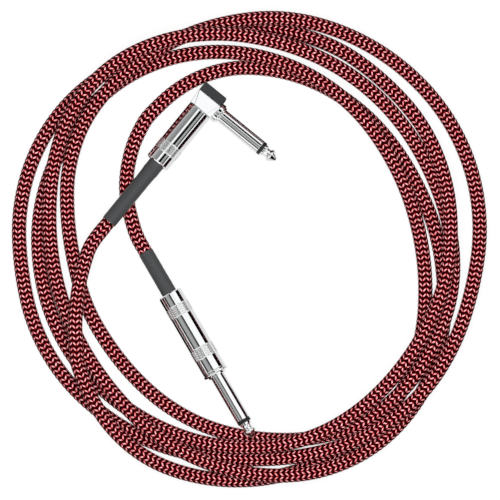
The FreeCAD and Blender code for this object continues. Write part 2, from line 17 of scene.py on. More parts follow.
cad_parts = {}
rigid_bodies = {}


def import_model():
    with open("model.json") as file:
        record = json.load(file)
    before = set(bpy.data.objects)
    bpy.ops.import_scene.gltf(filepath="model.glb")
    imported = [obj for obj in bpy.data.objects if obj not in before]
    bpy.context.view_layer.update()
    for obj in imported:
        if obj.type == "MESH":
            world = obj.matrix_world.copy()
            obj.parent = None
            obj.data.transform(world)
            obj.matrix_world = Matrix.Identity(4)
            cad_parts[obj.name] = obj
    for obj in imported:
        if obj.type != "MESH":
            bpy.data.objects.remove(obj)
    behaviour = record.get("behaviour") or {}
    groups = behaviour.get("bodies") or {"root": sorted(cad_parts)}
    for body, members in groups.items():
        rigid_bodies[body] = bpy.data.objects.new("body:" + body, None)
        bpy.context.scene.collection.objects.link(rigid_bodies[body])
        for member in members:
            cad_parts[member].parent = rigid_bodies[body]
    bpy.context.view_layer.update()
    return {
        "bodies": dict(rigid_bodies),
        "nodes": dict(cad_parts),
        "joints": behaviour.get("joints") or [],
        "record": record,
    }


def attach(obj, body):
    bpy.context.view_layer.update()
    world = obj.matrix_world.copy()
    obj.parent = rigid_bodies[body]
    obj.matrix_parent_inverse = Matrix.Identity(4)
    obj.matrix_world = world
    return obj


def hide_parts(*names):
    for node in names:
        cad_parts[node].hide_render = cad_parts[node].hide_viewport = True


LOG = logging.getLogger("instrument_cable")
MM = 0.001
WHITE = "#ffffff"
# A corner nearer the axis than this many millimetres is a pole
POLE = 1e-6
# What is turned and what is lofted keep an edge sharp where it turns by more than this, in degrees
TURNED_SHARP, LOFTED_SHARP = 35.0, 28.0
# Facets round what is turned
BARREL_FACETS, BODY_FACETS, TIP_FACETS = 128, 96, 64
# Kinds of node used more than once; what follows the dot is the sum that the node does
MATH, VECTOR, COMBINE = "ShaderNodeMath.", "ShaderNodeVectorMath.", "ShaderNodeCombineXYZ"
MIX, MIX_SHADER, MAP_RANGE = "ShaderNodeMix", "ShaderNodeMixShader", "ShaderNodeMapRange"
NOISE, BUMP, PLACE = "ShaderNodeTexNoise", "ShaderNodeBump", "ShaderNodeTexCoord"
# A colour mix's two inputs and its result
FIRST, SECOND, RESULT = 6, 7, 2

Point = tuple[float, float, float]
Corner = tuple[float, float]
Outline = list[Corner]
Add = Callable[..., Node]


def linear(hex_colour: str) -> tuple[float, float, float, float]:
    """Turn an sRGB hex colour to linear RGBA.

    Args:
        hex_colour: Six hex digits, with or without a leading hash.

    Returns:
        Linear red, green, blue and an alpha of one.
    """
    digits = hex_colour.lstrip("#")
    levels = [int(digits[i : i + 2], 16) / 255 for i in (0, 2, 4)]
    red, green, blue = [v / 12.92 if v <= 0.04045 else ((v + 0.055) / 1.055) ** 2.4 for v in levels]
    return red, green, blue, 1.0


def add_node(tree: NodeTree, kind: str, *inputs: object, **settings: object) -> Node:
    """Add a node with its settings, and set or link its inputs.

    Args:
        tree: The tree that gets it.
        kind: Its type name, and after a dot its operation where it has one.
        inputs: Its inputs in order, or dicts of them by name or number. Each is a value, a socket,
            or a node whose first output is meant.
        settings: Its properties.

    Returns:
        The new node.
    """
    kind, _, operation = kind.partition(".")
    node = tree.nodes.new(kind)
    for name, value in (settings | ({"operation": operation} if operation else {})).items():
        setattr(node, name, value)
    for number, given in enumerate(inputs):
        for key, value in (given if isinstance(given, dict) else {number: given}).items():
            if isinstance(value, Node):
                value = value.outputs[0]
            if isinstance(value, NodeSocket):
                tree.links.new(value, node.inputs[key])
            else:
                node.inputs[key].default_value = value
    return node


# Finishes


@dataclass(frozen=True)
class Finish:
    """A finish: its name, colour and main values, and an uneven skin on Object coordinates."""

    name: str
    colour: str
    roughness: float
    metallic: float = 0.0
    gloss: float = 0.5
    size_mm: float = 1.0
    detail: float = 2.0
    strength: float = 0.5
    depth_mm: float = 0.02

    def skin(self, add: Add, size_mm: float = 0.0, detail: float = 0.0) -> Node:
        """Add an uneven pattern of a real size, or of the skin's own."""
        scale = {"Scale": 1 / ((size_mm or self.size_mm) * MM), "Detail": detail or self.detail}
        return add(NOISE, {"Vector": add(PLACE).outputs["Object"]}, scale)

    def relief(self, add: Add, height: Node) -> dict:
        """Add the relief that a pattern gives the skin, as the shader's input."""
        size = {"Strength": self.strength, "Distance": self.depth_mm * MM}
        return {"Normal": add(BUMP, {"Height": height}, size)}

    def surface(self, add: Add) -> dict:
        """Add the nodes that make this finish more than one flat colour.

        Args:
            add: Adds a node to the material's tree.

        Returns:
            The shader's inputs that they feed.
        """
        return self.relief(add, self.skin(add))

    def material(self) -> Material:
        """Build the material, or return the one already built.

        Returns:
            The material.
        """
        found = bpy.data.materials.get(self.name)
        if found:
            return found
        made = bpy.data.materials.new(self.name)
        made.use_nodes = True
        made.node_tree.nodes.clear()
        add = partial(add_node, made.node_tree)
        values = {"Base Color": linear(self.colour), "Roughness": self.roughness, "Metallic": self.metallic}
        values["Specular IOR Level"] = self.gloss
        shader = add("ShaderNodeBsdfPrincipled", values, self.surface(add))
        add("ShaderNodeOutputMaterial", shader)
        return made


@dataclass(frozen=True)
class MouldedPlastic(Finish):
    """Moulded or extruded plastic: an even skin that the mould's grain keeps from shining.

    A spark-eroded mould's real grain is under 0.1 mm and too fine to show, so it is drawn coarser.
    """

    size_mm: float = 0.25


@dataclass(frozen=True)
class ChromePlate(Finish):
    """Chrome plate, buffed before and after plating.

    It gives the eye a cool mirror, whose stripes are a little uneven from the buffing wheel and a
    little hazy from handling.
    """

    size_mm: float = 6.0
    detail: float = 1.0
    strength: float = 0.05
    depth_mm: float = 0.1
    haze_mm: float = 2.5
    haze_detail: float = 3.0
    haze: Corner = (0.7, 1.5)

    def surface(self, add: Add) -> dict:
        """Add the haze to the buffing waves.

        Args:
            add: Adds a node to the material's tree.

        Returns:
            The shader's inputs that they feed.
        """
        low, high = self.haze
        limits = {"To Min": self.roughness * low, "To Max": self.roughness * high}
        rough = add(MAP_RANGE, self.skin(add, self.haze_mm, self.haze_detail), limits)
        return super().surface(add) | {"Roughness": rough}


@dataclass(frozen=True)
class ShrinkTubing(Finish):
    """Polyolefin tubing, shrunk on with hot air: a satin dark-grey skin, wavy from the braid under it."""

    gloss: float = 0.3
    size_mm: float = 3.0
    strength: float = 0.25
    depth_mm: float = 0.3
    smoother: float = 0.08
    rougher: float = 0.1

    def surface(self, add: Add) -> dict:
        """Add the waves, which are smoother where they rise.

        Args:
            add: Adds a node to the material's tree.

        Returns:
            The shader's inputs that they feed.
        """
        waves = self.skin(add)
        limits = {"To Min": self.roughness - self.smoother, "To Max": self.roughness + self.rougher}
        return {"Roughness": add(MAP_RANGE, waves, limits), **self.relief(add, waves)}


@dataclass(frozen=True)
class SoftMetal(Finish):
    """Stamped, drawn or melted soft metal: a dull shine with darker stains where it was handled."""

    size_mm: float = 1.2
    detail: float = 4.0
    strength: float = 0.2
    depth_mm: float = 0.05
    stain: str = "#8a7f6a"
    stained: Corner = (0.5, 0.8)

    def surface(self, add: Add) -> dict:
        """Add the stains and the uneven skin.

        Args:
            add: Adds a node to the material's tree.

        Returns:
            The shader's inputs that they feed.
        """
        patches = self.skin(add)
        low, high = self.stained
        amount = add(MAP_RANGE, patches, {"From Min": low, "From Max": high})
        colours = {FIRST: linear(self.colour), SECOND: linear(self.stain)}
        colour = add(MIX, amount, colours, data_type="RGBA").outputs[RESULT]
        return {"Base Color": colour, **self.relief(add, patches)}


@dataclass(frozen=True)
class BraidedPolyester(Finish):
    """Multifilament polyester, braided over the jacket: red yarns crossed by near-black ones.

    It gives the eye zigzags of small red floats, each with a pale silky painted highlight on its crown
    and painted shade, near black, round it. The sleeve's UV map has one unit round the cord in u, and
    one red and one dark float in v, and a line of constant v runs along the filaments. A real yarn has
    dozens of them, too fine to show, so a float is drawn with five.
    """

    dark: str = "#240002"
    # A painted highlight, pale and silky, on each red float's crown
    painted_glint: str = "#ffc8ca"
    # Painted shade, near black, round each float's edges and ends
    painted_crevice_shade: str = "#060000"
    gloss: float = 0.04
    strength: float = 0.9
    depth_mm: float = 0.16
    floats_round: float = 12.0
    filaments: float = 5.0
    filament_height: float = 0.12
    red_edge: Corner = (-0.27, 0.08)
    painted_glint_crown: Corner = (0.35, 0.75)
    least_painted_glint: float = 0.55
    painted_crevice_shade_crown: float = 0.5
    float_colour_left_in_painted_shade: float = 0.05

    def surface(self, add: Add) -> dict:
        """Colour floats, paint highlight on their crowns and shade at their edges and ends, raise filaments.

        Args:
            add: Adds a node to the material's tree.

        Returns:
            The shader's inputs that they feed.
        """
        around, pairs = add("ShaderNodeSeparateXYZ", add("ShaderNodeUVMap", uv_map="UVMap")).outputs[:2]
        column = add(MATH + "MULTIPLY", around, self.floats_round)
        # Red in the first half of a pair, dark in the second
        swing = add(MATH + "SINE", add(MATH + "MULTIPLY", add(MATH + "FRACT", pairs), 2 * math.pi))
        low, high = self.red_edge
        limits = {"From Min": low, "From Max": high}
        red = add(MAP_RANGE, swing, limits, interpolation_type="SMOOTHSTEP")
        # A float is round across and dips under its neighbours at both ends
        arch = add(MATH + "SINE", add(MATH + "MULTIPLY", add(MATH + "FRACT", column), math.pi))
        crown = add(MATH + "MULTIPLY", add(MATH + "ABSOLUTE", swing), arch)
        fine = add(MATH + "SINE", add(MATH + "MULTIPLY", pairs, 4 * math.pi * self.filaments))
        height = add(MATH + "ADD", crown, add(MATH + "MULTIPLY", fine, self.filament_height))
        # One yarn lies looser than the next, so its painted highlight is weaker or stronger
        row = add(MATH + "FLOOR", add(MATH + "MULTIPLY", pairs, 2.0))
        cell = add(COMBINE, add(MATH + "FLOOR", column), row)
        chance = add("ShaderNodeTexWhiteNoise", cell, noise_dimensions="2D")
        loose = add(MATH + "MULTIPLY_ADD", chance.outputs[0], 1 - self.least_painted_glint, self.least_painted_glint)
        # Painted highlight on each red float's crown, stronger on looser yarns
        low, high = self.painted_glint_crown
        lit = add(MAP_RANGE, crown, {"From Min": low, "From Max": high, "To Max": 1.0})
        # Painted shade: near black where a float dips under its neighbours
        painted_crevice_shade = add(MAP_RANGE, crown, {"From Max": self.painted_crevice_shade_crown, "To Min": self.float_colour_left_in_painted_shade})
        # Painted highlights on the red floats, then the dark floats beside them, then painted shade round
        # both
        colour = linear(self.colour)
        for amount, under, over in (
            (add(MATH + "MULTIPLY", lit, loose), colour, linear(self.painted_glint)),
            (red, linear(self.dark), None),
            (painted_crevice_shade, linear(self.painted_crevice_shade), None),
        ):
            colours = {FIRST: under, SECOND: over or colour}
            colour = add(MIX, amount, colours, data_type="RGBA").outputs[RESULT]
        return {"Base Color": colour, **self.relief(add, height)}


CHROME = ChromePlate("polished_chrome", "#f4f5f6", 0.022, 1.0)
# Knurling is plated but not buffed, so each diamond shows a soft glint and not a mirror
KNURLED_CHROME = ChromePlate("knurled_chrome", "#eceded", 0.2, 1.0)
BRAID = BraidedPolyester("braided_polyester", "#c81d2c", 0.6)
SHRINK = ShrinkTubing("shrink_polyolefin", "#3e3f40", 0.45)
JACKET = MouldedPlastic("extruded_jacket_black", "#1b1b1c", 0.5, size_mm=0.6)
CAP_PLASTIC = MouldedPlastic("moulded_abs_black", "#242527", 0.55)
# Acetal comes smoother out of the mould than the cap, and looks blacker for it
RING_PLASTIC = MouldedPlastic("moulded_acetal_black", "#0b0b0c", 0.4, size_mm=0.4)
LINER_PLASTIC = MouldedPlastic("extruded_liner_milky", "#dcdcd4", 0.45, size_mm=1.0)
CORE_PLASTIC = MouldedPlastic("polyethylene_core", "#e8e5dc", 0.4, size_mm=0.8)
TINNED_BRASS = SoftMetal("tinned_brass", "#c9c6bd", 0.28, 1.0)
BARE_COPPER = SoftMetal("bare_copper_strands", "#c9794f", 0.3, 1.0, stain="#8d4a2c")
SOLDER = SoftMetal("bright_solder", "#c8c9cb", 0.22, 1.0, stain="#9a9b9d")


# Meshes


@dataclass(frozen=True)
class PlugAxis:
    """Where a plug lies: X runs from its barrel's tail to its tip or head, and Y is level."""

    matrix: Matrix

    @classmethod
    def of_joint(cls, frame: dict, joint_name: str) -> "PlugAxis":
        """Read a plug's axis from the joint that its barrel turns on.

        Args:
            joint_name: The barrel's hinge, whose axis points from the tip to the tail.

        Returns:
            The plug's axis.
        """
        joint = next(j for j in frame["record"]["behaviour"]["joints"] if j["name"] == joint_name)
        along = -Vector(joint["axis"]).normalized()
        level = Vector((0, 0, 1)).cross(along).normalized()
        turn = Matrix((along, level, along.cross(level))).transposed().to_4x4()
        return cls(Matrix.Translation(Vector(joint["pos_m"])) @ turn)

    def point(self, x: float, y: float = 0.0, z: float = 0.0) -> Vector:
        """Row-frame place of a point given along the plug, in millimetres."""
        return self.matrix @ (Vector((x, y, z)) * MM)

    def jack(self, x: float) -> "PlugAxis":
        """Axis of the jack that stands square to this plug, to its right, x millimetres along it."""
        turn = Matrix.Rotation(-math.pi / 2, 4, "Z")
        return PlugAxis(self.matrix @ Matrix.Translation((x * MM, 0, 0)) @ turn)


def placed(name: str, data: ID) -> Object:
    """Put a mesh, curve, lamp or camera in the scene.

    Args:
        name: The object's name.
        data: What it holds.

    Returns:
        The object.
    """
    made = bpy.data.objects.new(name, data)
    bpy.context.scene.collection.objects.link(made)
    return made


def piece_from(
    name: str, mesh: Mesh, finish: Finish, slot: str, body: str, *replaced: str
) -> Object:
    """Make a finished mesh a piece that rides on a CAD body.

    Args:
        name: The piece's name.
        mesh: Its mesh, in the row frame.
        finish: Its finish.
        slot: The record's material slot; not used.
        body: The CAD body it rides on.
        replaced: The CAD nodes that it takes the place of.

    Returns:
        The piece.
    """
    piece = placed(name, mesh)
    mesh.name = name
    if not mesh.materials:
        mesh.materials.append(finish.material())
    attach(piece, body)
    if replaced:
        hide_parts(*replaced)
    LOG.info("%s: %d faces", name, len(mesh.polygons))
    return piece


def mesh_from(builder: bmesh.types.BMesh, axis: PlugAxis, sharp_deg: float) -> Mesh:
    """Turn faces outwards and make a smooth-shaded mesh of a part drawn along a plug.

    Args:
        builder: The part, in millimetres along the plug; it is freed.
        axis: The plug's axis.
        sharp_deg: Edges that turn by more than this stay sharp.

    Returns:
        The mesh in the row frame.
    """
    bmesh.ops.recalc_face_normals(builder, faces=builder.faces)
    mesh = bpy.data.meshes.new("part")
    builder.to_mesh(mesh)
    builder.free()
    mesh.transform(Matrix.Scale(MM, 4))
    mesh.transform(axis.matrix)
    mesh.shade_smooth()
    mesh.set_sharp_from_angle(angle=math.radians(sharp_deg))
    return mesh


def supported(outline: Outline, margin: float = 0.04, shortest: float = 0.32) -> Outline:
    """Add a corner close to both ends of each long run, so that smooth shading keeps it straight.

    Args:
        outline: The outline's corners, in millimetres.
        margin: How far from the run's ends the new corners lie.
        shortest: How long a run is at least that gets them.

    Returns:
        The outline with the new corners.
    """
    dense = []
    for start, end in zip(outline, outline[1:] + outline[:1]):
        a, b = Vector(start), Vector(end)
        dense.append(tuple(a))
        if min(a.y, b.y) > POLE and (b - a).length > shortest:
            step = (b - a).normalized() * margin
            dense += [tuple(a + step), tuple(b - step)]
    return dense


def turned(outline: Outline, facets: int, axis: PlugAxis) -> Mesh:
    """Turn a closed outline about a plug's axis.

    Args:
        outline: Distance along the axis and radius of each corner, in millimetres, in order.
        facets: Facets round the axis.
        axis: Where the axis lies.

    Returns:
        A closed mesh in the row frame.
    """
    builder = bmesh.new()
    turns = [2 * math.pi * k / facets for k in range(facets)]
    rings = []
    for x, radius in supported(outline):
        if radius < POLE:
            rings.append([builder.verts.new((x, 0, 0))] * facets)
        else:
            rings.append([builder.verts.new((x, radius * math.cos(t), radius * math.sin(t))) for t in turns])
    for ring, following in zip(rings, rings[1:] + rings[:1]):
        for k in range(facets):
            corners = list(dict.fromkeys((ring[k], ring[k - 1], following[k - 1], following[k])))
            if len(corners) > 2:
                builder.faces.new(corners)
    return mesh_from(builder, axis, TURNED_SHARP)


def joined(meshes: list[Mesh]) -> Mesh:
    """Put several meshes in one, keeping each face's material.

    Args:
        meshes: The meshes; they are removed.

    Returns:
        The joined mesh.
    """
    objects = [placed("part", mesh) for mesh in meshes]
    with bpy.context.temp_override(
        active_object=objects[0], selected_objects=objects, selected_editable_objects=objects
    ):
        bpy.ops.object.join()
    mesh = objects[0].data
    bpy.data.objects.remove(objects[0])
    return mesh


class SocketKind(Enum):
    """Kinds of input that a geometry tree takes."""

    LENGTH = "NodeSocketFloat"
    COUNT = "NodeSocketInt"
    FINISH = "NodeSocketMaterial"
    SHAPE = "NodeSocketGeometry"


class GeometryTree:
    """A Geometry Nodes tree with named inputs, run once and turned into a plain mesh."""

    def __init__(self, name: str, lengths: tuple[str, ...], counts: tuple[str, ...] = ()) -> None:
        """Start the tree.

        Args:
            name: The tree's name.
            lengths: Names of the inputs that are lengths or turns.
            counts: Names of the inputs that are whole numbers.
        """
        self.tree = bpy.data.node_groups.new(name, "GeometryNodeTree")
        self.add = partial(add_node, self.tree)
        kinds = {"Geometry": SocketKind.SHAPE, "Finish": SocketKind.FINISH}
        kinds |= dict.fromkeys(lengths, SocketKind.LENGTH) | dict.fromkeys(counts, SocketKind.COUNT)
        self.identifiers = {}
        for label, kind in kinds.items():
            made = self.tree.interface.new_socket(label, in_out="INPUT", socket_type=kind.value)
            self.identifiers[label] = made.identifier
        self.tree.interface.new_socket("Geometry", in_out="OUTPUT", socket_type=SocketKind.SHAPE.value)
        self.inputs = self.add("NodeGroupInput").outputs

    def end(self, shape: Node) -> None:
        """Realise the shape, set its finish and join it to the output.

        Args:
            shape: The node that makes it.
        """
        real = self.add("GeometryNodeRealizeInstances", shape)
        finish = {"Material": self.inputs["Finish"]}
        self.add("NodeGroupOutput", self.add("GeometryNodeSetMaterial", real, finish))

    def run(self, source: Mesh, values: dict, finish: Finish) -> Mesh:
        """Evaluate the tree on a mesh.

        Args:
            source: The mesh that the modifier sits on.
            values: Input name to value.
            finish: The finish of the result.

        Returns:
            The result as a plain mesh.
        """
        carrier = placed("carrier", source)
        modifier = carrier.modifiers.new("tree", "NODES")
        modifier.node_group = self.tree
        for label, value in {**values, "Finish": finish.material()}.items():
            modifier[self.identifiers[label]] = value
        bpy.context.view_layer.update()
        graph = bpy.context.evaluated_depsgraph_get()
        mesh = bpy.data.meshes.new_from_object(
            carrier.evaluated_get(graph), preserve_all_data_layers=True, depsgraph=graph
        )
        carrier.modifiers.remove(modifier)
        bpy.data.objects.remove(carrier)
        return mesh


def knurl_tree() -> GeometryTree:
    """Diamond knurl: pyramids in staggered rows round the X axis.

    Returns:
        The tree, with its sizes as inputs.
    """
    made = GeometryTree("diamond_knurl", ("Start", "Width", "Radius", "Depth"), ("Rows", "Round"))
    add, sizes = made.add, made.inputs
    points = add("GeometryNodePoints", add(MATH + "MULTIPLY", sizes["Rows"], sizes["Round"]))
    index = add("GeometryNodeInputIndex")
    row = add(MATH + "FLOOR", add(MATH + "DIVIDE", index, sizes["Round"]))
    place = add(MATH + "MODULO", index, sizes["Round"])
    # Every other row is turned by half a diamond
    stagger = add(MATH + "MULTIPLY_ADD", add(MATH + "MODULO", row, 2.0), 0.5, place)
    turn = add(MATH + "MULTIPLY", add(MATH + "DIVIDE", stagger, sizes["Round"]), 2 * math.pi)
    outward = add(COMBINE, 0.0, add(MATH + "COSINE", turn), add(MATH + "SINE", turn))
    step = add(MATH + "DIVIDE", sizes["Width"], sizes["Rows"])
    along = add(MATH + "MULTIPLY_ADD", add(MATH + "ADD", row, 0.5), step, sizes["Start"])
    ring = add(VECTOR + "SCALE", outward, {"Scale": sizes["Radius"]})
    spot = add(VECTOR + "ADD", ring, add(COMBINE, along))
    spots = add("GeometryNodeSetPosition", points, {"Position": spot})
    facing = add("FunctionNodeAxesToRotation", outward, (1.0, 0.0, 0.0), primary_axis="Z", secondary_axis="X")
    pyramid = {"Vertices": 4, "Radius Top": 0.0, "Radius Bottom": step, "Depth": sizes["Depth"]}
    diamond = add("GeometryNodeMeshCone", pyramid, fill_type="NGON")
    made.end(add("GeometryNodeInstanceOnPoints", spots, {"Instance": diamond, "Rotation": facing}))
    return made


def thread_tree(steps_a_turn: int = 48) -> GeometryTree:
    """Screw thread: one helical ridge with a triangular section round the X axis.

    Args:
        steps_a_turn: How many straight steps make a turn of the ridge.

    Returns:
        The tree, with its sizes as inputs.
    """
    made = GeometryTree("screw_thread", ("Start", "Radius", "Turns", "Pitch", "Depth"))
    add, sizes = made.add, made.inputs
    winding = {"Resolution": steps_a_turn, "Rotations": sizes["Turns"]}
    winding |= {"Start Radius": sizes["Radius"], "End Radius": sizes["Radius"]}
    winding["Height"] = add(MATH + "MULTIPLY", sizes["Turns"], sizes["Pitch"])
    helix = add("GeometryNodeCurveSpiral", winding)
    triangle = {"Resolution": 3, "Radius": sizes["Depth"]}
    section = add("GeometryNodeCurvePrimitiveCircle", triangle, mode="RADIUS")
    sweep = {"Curve": helix, "Profile Curve": section, "Fill Caps": True}
    ridge = add("GeometryNodeCurveToMesh", sweep)
    lay = {"Translation": add(COMBINE, sizes["Start"]), "Rotation": (0.0, math.pi / 2, 0.0)}
    made.end(add("GeometryNodeTransform", ridge, lay))
    return made


def braid_tree(swell_rings: float = 3.0, low_end: float = 0.4, seam_mm: float = 0.001) -> GeometryTree:
    """Braided sleeve: a tube along a line whose rings run in zigzags, with every float raised.

    Columns come four to a zigzag: low bend, flank, high bend, flank. Rings come two to a pair of
    floats: the middle of the dark one, which lies low, and that of the red one, which stands high.

    Args:
        swell_rings: Over how many rings the sleeve swells where it leaves the shrunk tubing.
        low_end: Height of a float at its ends, as a share of that at its middle.
        seam_mm: How close two points of the seam are that become one.

    Returns:
        The tree, with its sizes as inputs.
    """
    made = GeometryTree(
        "braided_sleeve", ("Radius", "Rise", "Relief", "Swell"), ("Rings", "Columns", "Tucked Rings")
    )
    add, sizes = made.add, made.inputs
    line = add("GeometryNodeMeshToCurve", sizes["Geometry"])
    even = add("GeometryNodeResampleCurve", {"Curve": line, "Count": sizes["Rings"]})
    marks = add("GeometryNodeCaptureAttribute", even)
    index = add("GeometryNodeInputIndex")
    for kind, label, value in (
        ("VECTOR", "tangent", add("GeometryNodeInputTangent")),
        ("VECTOR", "middle", add("GeometryNodeInputPosition")),
        ("FLOAT", "ring", index),
    ):
        marks.capture_items.new(kind, label)
        made.tree.links.new(value.outputs[0], marks.inputs[label])
    # The arc's last point lies on its first, and the seam is merged at the end
    full_turn = {"Radius": sizes["Radius"], "Sweep Angle": 2 * math.pi}
    full_turn["Resolution"] = add(MATH + "ADD", sizes["Columns"], 1.0)
    profile = add("GeometryNodeCaptureAttribute", add("GeometryNodeCurveArc", full_turn, mode="RADIUS"))
    profile.capture_items.new("FLOAT", "column")
    made.tree.links.new(index.outputs[0], profile.inputs["column"])
    sweep = {"Curve": marks, "Profile Curve": profile.outputs["Geometry"]}
    sleeve = add("GeometryNodeCurveToMesh", sweep)
    column, ring = profile.outputs["column"], marks.outputs["ring"]
    # Map for the weave, kept on face corners so that it doesn't wrap back at the seam
    pair = add(MATH + "MULTIPLY_ADD", ring, 0.5, -0.25)
    place = add(COMBINE, add(MATH + "DIVIDE", column, sizes["Columns"]), pair)
    weave = {"Name": "UVMap", "Value": place}
    mapped = add("GeometryNodeStoreNamedAttribute", sleeve, weave, data_type="FLOAT2", domain="CORNER")
    # Zigzag: -1/2, 0, 1/2, 0 over four columns
    swing = add(MATH + "MULTIPLY_ADD", add(MATH + "PINGPONG", column, 2.0), 0.5, -0.5)
    rise = add(MATH + "MULTIPLY", swing, sizes["Rise"])
    slide = add(VECTOR + "SCALE", marks.outputs["tangent"], {"Scale": rise})
    # Relief: a float is highest at its middle, across and along
    along = add(MATH + "MULTIPLY_ADD", add(MATH + "PINGPONG", column, 1.0), 1 - low_end, low_end)
    crown = add(MATH + "MULTIPLY", add(MATH + "PINGPONG", ring, 1.0), along)
    relief = add(MATH + "MULTIPLY", crown, sizes["Relief"])
    # The sleeve swells where it comes out of the shrunk tubing at either end
    nearest_end = add(MATH + "MINIMUM", ring, add(MATH + "SUBTRACT", sizes["Rings"], ring))
    full = add(MATH + "ADD", sizes["Tucked Rings"], swell_rings)
    limits = {"From Min": sizes["Tucked Rings"], "From Max": full, "To Max": sizes["Swell"]}
    lift = add(MATH + "ADD", relief, add(MAP_RANGE, nearest_end, limits))
    spoke = add(VECTOR + "SUBTRACT", add("GeometryNodeInputPosition"), marks.outputs["middle"])
    raised = add(VECTOR + "SCALE", add(VECTOR + "NORMALIZE", spoke), {"Scale": lift})
    woven = add("GeometryNodeSetPosition", mapped, {"Offset": add(VECTOR + "ADD", slide, raised)})
    closed = add("GeometryNodeMergeByDistance", woven, {"Distance": seam_mm * MM})
    made.end(add("GeometryNodeSetShadeSmooth", closed))
    return made


# Cord


@dataclass(frozen=True)
class Nudge:
    """Correction of the coil: where it is largest, how far it reaches, how much out and up."""

    degrees: float
    reach: float
    outwards: float
    upwards: float = 0.0


